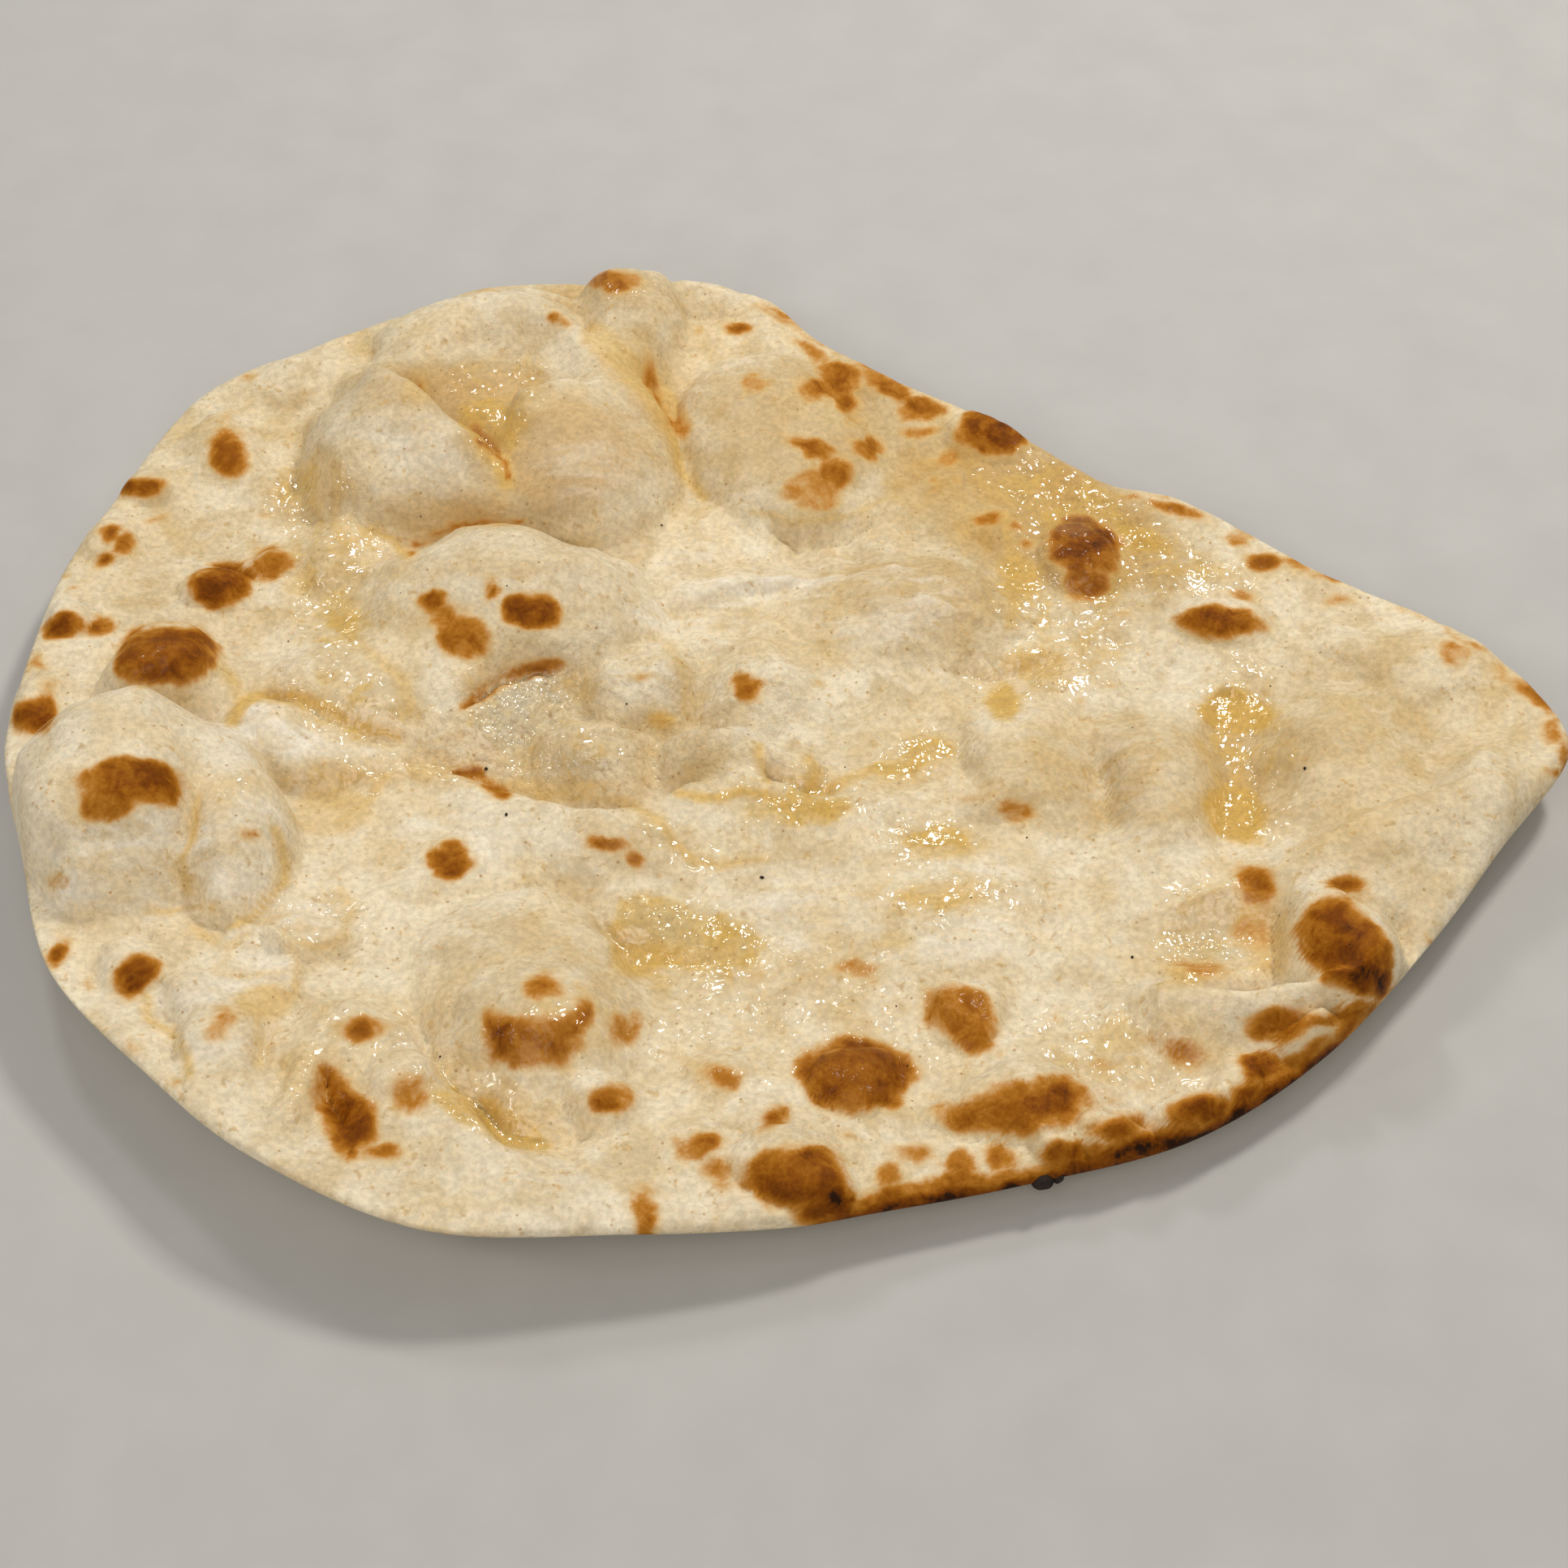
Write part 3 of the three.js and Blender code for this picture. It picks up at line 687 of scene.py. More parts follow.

    # Browned bottoms of creases; the first, under the back puff's overhanging front, is partly painted shade
    SEAMS = (
        Seam(((-76, 57, 8), (-71, 58, 8.2), (-65, 60, 9), (-55, 60.5, 10.5)), 1.6, Tone.AMBER),
        Seam(((-62, 10, 9), (-57, 15, 10), (-51, 19, 11), (-44, 21, 11)), 3, Tone.BROWN),
        Seam(((-64, 84, 14), (-60, 78, 14), (-57, 70, 16)), 3, Tone.AMBER),
        Seam(((-30, 107, 13), (-29, 102, 10.5), (-26, 94, 11.5), (-21, 88, 10)), 5, Tone.AMBER),
    )

    # Skin that browned evenly, without scorching
    TOASTED = patches(
        (-46, 84, 36, 32, 0.8), (-66, 67, 30, 12, 0.6), (-72, 103, 36, 16, 0.7),
        (-28, 100, 10, 34, 0.7, 15), (6, 92, 44, 40, 0.4), (50, 66, 64, 36, 0.65, -35),
        (24, 40, 44, 28, 0.4), (66, -4, 54, 30, 0.35), (-36, 134, 22, 12, 0.5), (7, 74, 20, 18, 0.3),
        (-125, 40, 20, 60, 0.1), (-118, -22, 30, 30, 0.1), (-56, 42, 46, 34, 0.3), (-43, -52, 38, 32, 0.2),
        (112, 2, 40, 60, 0.25), (-24, 8, 40, 30, 0.25), (110, 6, 40, 26, 0.3), (130, 6, 36, 50, 0.15),
    )

    def toasting(self, px: np.ndarray, py: np.ndarray) -> np.ndarray:
        """How evenly browned each seen place is."""
        return np.maximum.reduce([patch.strength(px, py, self.TOAST_SOFTNESS) for patch in self.TOASTED])

    def in_creases(self, points: np.ndarray) -> np.ndarray:
        """How far the creases' bottoms have browned, one of them partly as painted shade."""
        return np.maximum.reduce([seam.strength(points, self.SEAM_SOFTNESS) for seam in self.SEAMS])

    def marks(self) -> list:
        """All the scorched patches and lines in one list."""
        groups = (
            self.BLACKENED, self.CHARRED, self.DARKENED, self.BROWNED, self.AMBERED, self.GOLDEN, self.FAINT,
            self.LINES,
        )
        return [mark for group in groups for mark in group]

    def strength(self, px: np.ndarray, py: np.ndarray) -> np.ndarray:
        """How far each seen place has scorched.

        Args:
            px: Places along the bread, as seen.
            py: Places across the bread, as seen.

        Returns:
            The scorching, from 0 to a little over 1.
        """
        total = np.zeros(px.shape)
        for mark in self.marks():
            total = np.maximum(total, mark.strength(px, py, self.SOFTNESS, self.FALL))
        return total


class Buttering:
    """Where melted butter soaked in, and where it stands in the dips, as seen by the eye."""

    SOFTNESS = 6.0
    SEEP_SOFTNESS = 2.2
    ROUGH_SOFTNESS = 20.0
    # How far out a pool's hold ends, and over what breadth, as shares of its half width
    HOLD_END = 1.4
    HOLD_BREADTH = 0.9
    GLAZE = patches(
        (-61, 92, 14, 22, 0.9), (-18, -44, 28, 18, 0.9, -20), (2, -10, 26, 12, 0.8),
        (24, -1, 14, 9, 0.8, 30), (88, 2, 16, 40, 0.9), (60, 68, 44, 22, 0.7, -35),
        (45, 22, 26, 12, 0.7, -10), (47, 44, 12, 20, 0.6), (82, 48, 20, 10, 0.8), (58, 32, 20, 26, 0.5),
        (28, -20, 16, 10, 0.6), (28, -34, 26, 9, 0.7), (-18, -22, 30, 10, 0.5),
        (-48, -78, 30, 12, 0.5, -20), (-90, 50, 16, 30, 0.9), (-97, 70, 14, 24, 0.8),
        (-88, 34, 16, 16, 0.9), (-82, 12, 30, 16, 0.8, -25), (78, -42, 26, 22, 0.7),
        (-42, -64, 26, 16, 0.6), (-50, 18, 22, 14, 0.9), (-45, 2, 44, 12, 0.8, -12),
        (-72, -4, 50, 6, 0.7, 5), (-78, -68, 24, 26, 0.3), (-38, 138, 12, 8, 0.9), (-60, 106, 20, 18, 0.4),
        (4, -60, 60, 30, 0.25), (60, -66, 30, 16, 0.5), (-85, -40, 20, 16, 0.25),
        (-118, 118, 30, 10, 0.5, 35), (61, 54, 18, 24, 0.9), (13, -72, 14, 12, 0.5),
        (-120, 24, 16, 14, 0.6),
    )
    POOLS = (
        Dome(-62, 91, 6, 8, 0.4), Dome(-22, -42, 9, 7, 0.7, turn=-20), Dome(-12, -45, 8, 6, 0.7),
        Dome(3, -13, 11, 3.5, 0.6), Dome(24, -1, 8, 3, 0.5, turn=35), Dome(86, 12.5, 6, 6, 0.45),
        Dome(84, -13.5, 5.5, 6.5, 0.45), Dome(72.5, 58, 6, 4, 0.4, turn=-30), Dome(42, 14, 2.5, 5, 0.5),
        Dome(47, 45, 2.5, 5, 0.4), Dome(57, 64, 7, 4, 0.3, turn=-30), Dome(28, -20, 5, 3, 0.3),
        Dome(28, -34, 8, 2.5, 0.3), Dome(-50, -82, 10, 3, 0.3, turn=-30), Dome(82, 49, 9, 2.5, 0.4),
        Dome(75, -46, 5, 3.5, 0.4), Dome(-89, 39, 4, 6, 0.4),
    )

    # Golden lines and stains where butter ran along creases and between flaps
    SEEPS = (
        Stroke(
            (
                (-105.6, 9), (-104.7, 14), (-100.5, 15.5), (-94, 15), (-89, 12.5), (-82, 8), (-74, 5),
            ),
            3.2, 1.0,
        ),
        Stroke(((-110, 24), (-107, 19), (-105, 14)), 2.4, 0.7),
        Stroke(((-75.5, -6), (-77.5, -10.5), (-83, -15.5)), 1.8, 0.7),
        Stroke(((-110, -10), (-109.5, -19), (-110.7, -26), (-108.6, -33)), 1.6, 0.9),
        Stroke(((-115.5, -36.6), (-111.6, -37), (-108.8, -36.3), (-103, -35.4)), 1.4, 0.8),
        Stroke(
            (
                (-94.7, -17), (-91.5, -26.5), (-91.3, -30), (-94.6, -35), (-96.5, -38.5), (-99.5, -39.6),
            ),
            1.5, 1.0,
        ),
        Stroke(((-106.3, -40.5), (-100, -45.2), (-96.6, -41.7)), 1.3, 0.6),
        Stroke(((-99.4, -45.8), (-101, -50.5), (-95, -51), (-86.7, -50)), 1.3, 0.5),
        Stroke(((-88.7, -44.6), (-86.5, -49.3), (-87, -54.5), (-89, -59), (-92.4, -61.4)), 1.6, 0.7),
        Stroke(((-92.6, -61.4), (-91.4, -66), (-91, -70.5)), 1.4, 0.6),
        Stroke(((-112.7, -55.7), (-111.5, -60.8), (-107.5, -63), (-104.6, -67), (-103, -72.5)), 1.5, 0.9),
        Stroke(
            (
                (-90, -41.7), (-88.3, -44), (-83.5, -45), (-79.4, -43), (-78.6, -37), (-81, -31.5),
            ),
            1.5, 0.6,
        ),
        Stroke(((-42.4, 17.6), (-42.2, 13), (-42.5, 8.7)), 2.2, 1.0),
        Stroke(
            (
                (-46.5, -9.7), (-34, -10.3), (-27.7, -12.3), (-23, -15.4), (-20, -21), (-16, -25.5),
                (-10, -26), (-3.4, -24.8),
            ),
            1.8, 0.8,
        ),
        Stroke(
            (
                (-19.8, -8.7), (-15.4, -10.3), (-12.4, -10.3), (-8.5, -8), (-4, -9), (-0.5, -11.6),
                (4.4, -12.6), (11.3, -12.3),
            ),
            2.2, 1.0,
        ),
        Stroke(((-4.8, 2.7), (-4.5, -0.6), (-3, -5.8)), 1.8, 0.9),
        Stroke(((4.5, -0.6), (6.4, -4.5), (4.4, -9.7)), 1.8, 1.0),
        Stroke(((8.4, -8.4), (11.4, -5.8), (14.4, -4.5)), 2.6, 0.8),
        Stroke(((-22.3, 28.7), (-19.6, 22.4), (-18.9, 16.2), (-19.3, 11.4)), 2.0, 0.5),
        Stroke(((-67.4, 97), (-63.8, 88), (-59.6, 79.4), (-57.2, 74.3)), 3.2, 1.0),
        Stroke(((-59.6, 97.7), (-57.8, 88), (-57.2, 74.3)), 1.6, 0.8),
        Stroke(((-84, 61), (-79, 57), (-75.8, 53.2)), 2.0, 1.0),
        Stroke(((-41, 121), (-32, 109), (-26, 99.6), (-22.5, 92)), 6.5, 0.6),
        Stroke(((-23.7, 92), (-22, 79), (-16, 70)), 2.4, 0.8),
        Stroke(((-6.2, 66.4), (1.3, 62.8), (12.6, 64.6), (21.5, 70)), 1.4, 0.6),
        Stroke(((45, 64.6), (46.7, 47), (44.8, 33.8)), 2.4, 0.6),
        Stroke(((-86, 32), (-80, 26), (-74, 20), (-72, 12)), 2.4, 0.6),
        Stroke(((-95, 84), (-92, 74), (-92, 62), (-88, 56)), 2.6, 0.6),
        *patches(
            (-84.5, -13, 15, 13, 0.5), (-81, -5, 18, 3.5, 0.6), (-92, -57, 10.5, 8, 0.7),
            (-44, -7, 23.5, 5, 0.7), (-23.3, 9.4, 5, 4, 0.9), (42.3, 14, 6, 9, 1.0),
            (86.7, 11.5, 13, 11, 1.0), (84, -14, 11, 14, 0.9), (49, 24, 13, 8, 0.6),
            (72, 58.5, 11.5, 6.5, 0.9, -30), (47, 48, 8, 13, 0.8, 20), (72, -51, 9, 5, 0.9),
            (29, -22, 11.5, 6.5, 0.5), (28.5, -33, 14.5, 6.5, 0.5), (86.5, -42, 10.5, 15.5, 0.6),
            (60, 68, 26, 10.5, 0.5, -30), (20, -44, 6.5, 4, 0.5), (-26, -46, 10.5, 11.5, 0.8),
            (-97, 74, 8, 21, 0.4), (-78, 104, 6.5, 13, 0.4),
        ),
    )

    # Where small clear bubbles froth up in the butter
    FROTH = patches(
        (-50, 12, 20, 20, 1.0, -20), (-40, -2, 24, 8, 0.6), (76, -44, 16, 10, 0.7), (-22, -40, 16, 10, 0.5),
    )

    # Dry, floury skin that the butter missed; the patch on the knob at (-85, -38.5) is also painted
    # highlight, whitening it where the lamps leave it shaded
    DRY = patches(
        (-96, 8, 22, 16, 1.0), (-85, -38.5, 10, 8, 1.0), (-78, 0, 30, 6, 0.8, -15),
        (-22, 36, 34, 8, 0.8, 5), (-5, 45, 26, 7, 0.9, 8), (-13, 55, 20, 8, 0.6, 20), (18, 41, 34, 24, 0.5),
        (-28, 20, 16, 18, 0.5), (-8, 12, 30, 16, 0.4), (-120, -26, 36, 26, 0.75), (-98, -26, 14, 30, 0.7),
        (-60, -20, 40, 16, 0.4), (20, -36, 60, 24, 0.5), (-100, -60, 22, 20, 0.5), (-40, -98, 60, 12, 0.3),
        (-78, 82, 22, 30, 0.4, 30), (-40, 78, 24, 18, 0.3), (-55, 45, 30, 10, 0.3), (80, -56, 30, 6, 0.7),
        (-92, -48, 12, 8, 0.6), (64, -4, 20, 30, 0.3),
    )

    # Where small bubbles crowd the skin
    ROUGH = patches(
        (-30, 8, 90, 40, 0.7, 5), (-100, 58, 50, 90, 0.3), (52, 40, 80, 70, 0.4, -20),
        (30, -84, 130, 26, 0.4, 8), (-80, -70, 70, 50, 0.2, -35), (20, 88, 40, 40, 0.3),
    )

    def roughness(self, px: np.ndarray, py: np.ndarray) -> np.ndarray:
        """How crowded with small bubbles the skin is at each place."""
        return np.maximum.reduce([patch.strength(px, py, self.ROUGH_SOFTNESS) for patch in self.ROUGH])

    def dryness(self, px: np.ndarray, py: np.ndarray) -> np.ndarray:
        """How floury and dry the skin is at each seen place."""
        return np.maximum.reduce([patch.strength(px, py, self.SOFTNESS) for patch in self.DRY])

    def seeping(self, px: np.ndarray, py: np.ndarray) -> np.ndarray:
        """How golden the butter that ran along creases turned each seen place."""
        return np.maximum.reduce([mark.strength(px, py, self.SEEP_SOFTNESS) for mark in self.SEEPS])

    def frothing(self, px: np.ndarray, py: np.ndarray) -> np.ndarray:
        """How far bubbles froth up at each seen place."""
        return np.maximum.reduce([patch.strength(px, py, self.SOFTNESS) for patch in self.FROTH])

    def glaze(self, px: np.ndarray, py: np.ndarray) -> np.ndarray:
        """How much butter soaked in at each seen place.

        Args:
            px: Places along the bread, as seen.
            py: Places across the bread, as seen.

        Returns:
            The soaking, from 0 to 1.
        """
        dry = np.ones(px.shape)
        for patch in self.GLAZE:
            dry = dry * (1.0 - patch.strength(px, py, self.SOFTNESS))
        return 1.0 - dry

    def depth(self, px: np.ndarray, py: np.ndarray) -> np.ndarray:
        """How high the butter stands over the smooth dough, below zero where there is none."""
        return np.maximum.reduce([pool.rise(px, py) for pool in self.POOLS])

    def held(self, px: np.ndarray, py: np.ndarray) -> np.ndarray:
        """How far each seen place lies inside a pool, so that the butter thins out to nothing at its edge."""
        reach = np.minimum.reduce([pool.reach(px, py) for pool in self.POOLS])
        return smooth_step((self.HOLD_END - np.sqrt(reach)) / self.HOLD_BREADTH)


def linear_colour(code: str, alpha: float = 1.0) -> tuple[float, float, float, float]:
    """A colour given as sRGB hex, turned linear.

    Args:
        code: Six hex digits.
        alpha: Its opacity.

    Returns:
        Linear red, green, blue and alpha.
    """
    values = [int(code[i : i + 2], 16) / 255 for i in (0, 2, 4)]
    linear = [v / 12.92 if v <= 0.04045 else ((v + 0.055) / 1.055) ** 2.4 for v in values]
    return (*linear, alpha)


def add_node(
    tree: Tree, kind: str, settings: dict | None = None, links: dict | None = None
) -> bpy.types.Node:
    """Adds one node with its settings and links.

    Args:
        tree: The node tree.
        kind: The node's type name.
        settings: Attribute or input names, or input numbers, with their values.
        links: Input names or numbers, with the output sockets that feed them.

    Returns:
        The node.
    """
    node = tree.nodes.new(kind)
    for name, value in (settings or {}).items():
        if isinstance(name, str) and hasattr(node, name):
            setattr(node, name, value)
        else:
            node.inputs[name].default_value = value
    for name, socket in (links or {}).items():
        tree.links.new(socket, node.inputs[name])
    return node


def set_ramp(node: bpy.types.Node, stops: tuple[tuple[float, str], ...]) -> None:
    """Gives a colour ramp its stops.

    Args:
        node: The colour ramp node.
        stops: Places from 0 to 1 with their hex colours.
    """
    ramp = node.color_ramp
    while len(ramp.elements) > 1:
        ramp.elements.remove(ramp.elements[-1])
    ramp.elements[0].position, ramp.elements[0].color = stops[0][0], linear_colour(stops[0][1])
    for place, code in stops[1:]:
        ramp.elements.new(place).color = linear_colour(code)


def new_material(name: str) -> tuple[bpy.types.Material, Tree]:
    """An empty node material.

    Args:
        name: Its name.

    Returns:
        The material and its node tree.
    """
    material = bpy.data.materials.new(name)
    material.use_nodes = True
    material.node_tree.nodes.clear()
    return material, material.node_tree


@dataclass(frozen=True)
class Pattern:
    """Noise whose lumps have a real size, spread smoothly over a band of values where it is given one.

    Args:
        size: Size of a lump, mm.
        detail: Number of finer layers.
        twist: How far it folds over itself.
        values: Settings of the band, or nothing for the noise as it is.
    """

    size: float
    detail: float
    twist: float = 0.0
    values: tuple = ()

    def draw(self, tree: Tree, place: Socket) -> Socket:
        """Adds the pattern to a finish.

        Args:
            tree: The finish's node tree.
            place: Where the pattern is read.

        Returns:
            The pattern's values.
        """
        settings = {
            "Scale": 1 / (self.size * MM), "Detail": self.detail, "Roughness": 0.6, "Distortion": self.twist,
        }
        lumps = add_node(tree, "ShaderNodeTexNoise", settings, {"Vector": place}).outputs["Fac"]
        if not self.values:
            return lumps
        return add_node(tree, "ShaderNodeMapRange", band(*self.values), {"Value": lumps}).outputs["Result"]


def band(start: float, end: float, low: float = 0.0, high: float = 1.0) -> dict:
    """Settings that spread values between start and end smoothly from low to high."""
    limits = {"From Min": start, "From Max": end, "To Min": low, "To Max": high}
    return {"interpolation_type": "SMOOTHSTEP", **limits}


def stacked(tree: Tree, reliefs: tuple) -> Socket:
    """Lays fine reliefs over each other.

    Args:
        tree: The finish's node tree.
        reliefs: Heights, strength and depth in mm of each.

    Returns:
        The surface's direction over them all.
    """
    links = {}
    for heights, strength, depth in reliefs:
        settings = {"Strength": strength, "Distance": depth * MM}
        bump = add_node(tree, "ShaderNodeBump", settings, {"Height": heights, **links})
        links = {"Normal": bump.outputs["Normal"]}
    return links["Normal"]


@dataclass(frozen=True)
class BakedCrust:
    """Baked wheat-flour crust: dull, creamy and faintly mottled, glossy where butter soaked in.

    The eye gets a soft skin with toasted freckles, gold to dark brown scorching with ragged edges, and small
    sharp glints wherever the buttered skin is wrinkled.
    """

    pale: str = "F1E5CA"
    tan: str = "D4BD91"
    toasted: str = "C9A465"
    raised: str = "EDE4CF"
    golden: str = "E2C487"
    flour: str = "F3ECDB"
    crease: str = "DCB662"
    soaked: str = "FDF3DB"
    pooled: str = "DDB55C"
    frothed: str = "D6C7A6"
    pore: str = "B58D55"
    scorch: tuple = (
        (0.0, "E6CB94"), (0.14, "DCB46C"), (0.28, "C98F40"), (0.42, "B27420"), (0.56, "985A0A"),
        (0.7, "824604"), (0.85, "6A3602"), (1.0, "2E1808"),
    )
    # Patterns of colour
    mottle: Pattern = Pattern(10.0, 7.0, 0.4, (0.38, 0.68))
    blotch: Pattern = Pattern(16.0, 5.0, 0.7, (0.46, 0.66, 0.0, 0.32))
    streak: Pattern = Pattern(5.0, 5.0, 0.8, (0.4, 0.62))
    butter_streak: Pattern = Pattern(8.0, 4.0, 0.9, (0.48, 0.6, 0.0, 0.8))
    pool_patch: Pattern = Pattern(5.0, 4.0, 0.6, (0.38, 0.6, 0.45, 1.0))
    freckle: Pattern = Pattern(2.2, 2.0, 0.4, (0.6, 0.72, 0.0, 0.55))
    speckle: Pattern = Pattern(1.2, 4.0, 0.0, (0.3, 0.7, 0.85, 1.08))
    ragged_char: Pattern = Pattern(0.9, 4.0, 0.3, (0.28, 0.72, 0.9, 1.08))
    patchy_char: Pattern = Pattern(5.0, 4.0, 0.5, (0.34, 0.66, 0.7, 1.12))
    # Patterns of relief
    wrinkle: Pattern = Pattern(1.0, 4.0, 0.8)
    crinkle: Pattern = Pattern(2.6, 4.0, 0.5)
    ripple: Pattern = Pattern(2.8, 1.0, 0.6)
    pleat_size: float = 6.0
    pore_gap: float = 2.4
    pore_strength: tuple = (0.35, 0.75, 0.0, 0.75)
    pore_reach: tuple = (0.17, 0.07)
    bubble_size: float = 1.4
    bubble_dome: tuple = (0.75, 0.1)
    mottle_share: float = 0.34
    scorch_cover: float = 0.46
    roughness: float = 0.6
    gloss_roughness: float = 0.3

    def dough_colour(self, tree: Tree, place: Socket, painted: dict[str, Socket]) -> Socket:
        """Colours the unscorched dough: mottled, streaked, floury in parts, golden where buttered, painted
        shade in hollows.

        Args:
            tree: The node tree.
            place: Place in the bread.
            painted: The measures painted on the crust.

        Returns:
            The colour's socket.
        """
        # the toast measure also holds painted shade that darkens the far side
        toast = add_node(
            tree, "ShaderNodeMath", {"operation": "MULTIPLY_ADD", 1: self.mottle_share, "use_clamp": True},
            {0: self.mottle.draw(tree, place), 2: painted["toast"]},
        ).outputs[0]
        ramp = add_node(tree, "ShaderNodeValToRGB", None, {"Fac": toast})
        set_ramp(ramp, ((0.0, self.pale), (0.5, self.tan), (1.0, self.toasted)))
        pull = {"Scale": (0.22, 1.0, 0.6), "Rotation": (0.0, 0.0, 0.15)}
        pulled = add_node(tree, "ShaderNodeMapping", pull, {"Vector": place}).outputs["Vector"]
        uneven = self.pool_patch.draw(tree, place)
        # How much of each colour is laid on, what thins it out, the colour and how it mixes
        layers = (
            (painted["raised"], None, self.raised, "MIX"),
            (painted["dryness"], self.streak.draw(tree, pulled), self.flour, "MIX"),
            # crease colour in sunk places is painted shade, strengthened where wet by butter, with butter
            # gold along seeps
            (painted["hollow"], None, self.crease, "MIX"),
            (self.blotch.draw(tree, place), None, self.golden, "MIX"),
            (painted["glaze"], None, self.soaked, "MULTIPLY"),
            (painted["glaze"], self.butter_streak.draw(tree, place), self.crease, "MIX"),
            (painted["pool"], uneven, self.pooled, "MIX"),
            (painted["froth"], uneven, self.frothed, "MIX"),
            (self.freckle.draw(tree, place), None, self.toasted, "MIX"),
            (*self.pores(tree, place), self.pore, "MIX"),
        )
        colour = ramp.outputs["Color"]
        for share, thinning, code, way in layers:
            if thinning:
                share = add_node(
                    tree, "ShaderNodeMath", {"operation": "MULTIPLY"}, {0: share, 1: thinning}
                ).outputs[0]
            settings = {"data_type": "RGBA", "blend_type": way, 7: linear_colour(code)}
            colour = add_node(tree, "ShaderNodeMix", settings, {0: share, 6: colour}).outputs[2]
        speckled = {0: colour, "Scale": self.speckle.draw(tree, place)}
        return add_node(tree, "ShaderNodeVectorMath", {"operation": "SCALE"}, speckled).outputs["Vector"]

    def pores(self, tree: Tree, place: Socket) -> tuple[Socket, Socket]:
        """Scatters fine round specks, where pores of the dough browned.

        Args:
            tree: The node tree.
            place: Place in the bread.

        Returns:
            How strong each speck is, and how far each place is inside one.
        """
        cells = add_node(tree, "ShaderNodeTexVoronoi", {"Scale": 1 / (self.pore_gap * MM)}, {"Vector": place})
        strength, reach = self.pore_strength, self.pore_reach
        strong = add_node(tree, "ShaderNodeMapRange", band(*strength), {"Value": cells.outputs["Color"]})
        inside = add_node(tree, "ShaderNodeMapRange", band(*reach), {"Value": cells.outputs["Distance"]})
        return strong.outputs["Result"], inside.outputs["Result"]

    def scorched(self, tree: Tree, place: Socket, scorch: Socket, dough: Socket) -> Socket:
        """Lays the scorching over the dough's colour, with ragged edges and a patchy middle.

        Args:
            tree: The node tree.
            place: Place in the bread.
            scorch: How far each place scorched.
            dough: The dough's colour.

        Returns:
            The colour's socket.
        """
        burnt = scorch
        for pattern in (self.ragged_char, self.patchy_char):
            links = {0: burnt, 1: pattern.draw(tree, place)}
            burnt = add_node(tree, "ShaderNodeMath", {"operation": "MULTIPLY"}, links).outputs[0]
        blackest = {"operation": "DIVIDE", 1: float(Tone.BLACK)}
        shown = add_node(tree, "ShaderNodeMath", blackest, {0: burnt}).outputs[0]
        ramp = add_node(tree, "ShaderNodeValToRGB", None, {"Fac": shown})
        set_ramp(ramp, self.scorch)
        cover = add_node(tree, "ShaderNodeMapRange", band(0.0, self.scorch_cover), {"Value": burnt})
        links = {0: cover.outputs["Result"], 6: dough, 7: ramp.outputs["Color"]}
        return add_node(tree, "ShaderNodeMix", {"data_type": "RGBA"}, links).outputs[2]

    def skin(self, tree: Tree, place: Socket, painted: dict[str, Socket]) -> tuple[Socket, Socket]:
        """Gives the skin its finest relief: pleats, wrinkles, crinkles and the butter's bubbles.

        Args:
            tree: The node tree.
            place: Place in the bread.
            painted: The measures painted on the crust.

        Returns:
            The direction of the dull skin, and that of the butter on it.
        """
        pull = {"Scale": (0.5, 1.0, 1.0), "Rotation": (0.0, 0.0, 0.3)}
        pulled = add_node(tree, "ShaderNodeMapping", pull, {"Vector": place}).outputs["Vector"]
        ridged = {
            "noise_type": "RIDGED_MULTIFRACTAL", "Scale": 1 / (self.pleat_size * MM), "Detail": 3.0,
            "Distortion": 0.6,
        }
        pleat = add_node(tree, "ShaderNodeTexNoise", ridged, {"Vector": pulled}).outputs["Fac"]
        cell = {"Scale": 1 / (self.bubble_size * MM)}
        foam = add_node(tree, "ShaderNodeTexVoronoi", cell, {"Vector": place}).outputs["Distance"]
        domed = add_node(tree, "ShaderNodeMapRange", band(*self.bubble_dome), {"Value": foam})
        crowded = []
        for relief, name in ((self.crinkle.draw(tree, place), "rough"), (domed.outputs["Result"], "froth")):
            links = {0: relief, 1: painted[name]}
            crowded.append(add_node(tree, "ShaderNodeMath", {"operation": "MULTIPLY"}, links).outputs[0])
        crinkle, bubbles = crowded
        wrinkle, ripple = self.wrinkle.draw(tree, place), self.ripple.draw(tree, place)
        skin = ((pleat, 0.5, 0.6), (wrinkle, 0.5, 0.4), (crinkle, 1.0, 1.3), (bubbles, 1.0, 0.25))
        return stacked(tree, skin), stacked(tree, ((ripple, 1.0, 0.7), (bubbles, 1.0, 0.35)))

    def material(self) -> bpy.types.Material:
        """Builds the material.

        Returns:
            The crust's material.
        """
        material, tree = new_material("baked_wheat_crust")
        place = add_node(tree, "ShaderNodeTexCoord").outputs["Object"]
        painted = {
            name: add_node(tree, "ShaderNodeAttribute", {"attribute_name": name}).outputs["Fac"]
            for name in ("scorch", "glaze", "pool", "dryness", "rough", "raised", "hollow", "froth", "toast")
        }
        colour = self.scorched(tree, place, painted["scorch"], self.dough_colour(tree, place, painted))
        dull, oily = self.skin(tree, place, painted)
        gloss = band(0.0, 1.0, self.roughness, self.gloss_roughness)
        roughness = add_node(tree, "ShaderNodeMapRange", gloss, {"Value": painted["glaze"]}).outputs["Result"]
        shader = add_node(
            tree, "ShaderNodeBsdfPrincipled",
            {
                "IOR": 1.4, "Specular IOR Level": 0.12, "Subsurface Weight": 0.25,
                "Subsurface Radius": (1.0, 0.55, 0.28), "Subsurface Scale": 3 * MM,
                "Coat Roughness": 0.1, "Coat IOR": 1.8,
            },
            {
                "Base Color": colour, "Roughness": roughness, "Normal": dull, "Coat Weight": painted["glaze"],
                "Coat Normal": oily,
            },
        )
        add_node(tree, "ShaderNodeOutputMaterial", None, {"Surface": shader.outputs[0]})
        return material


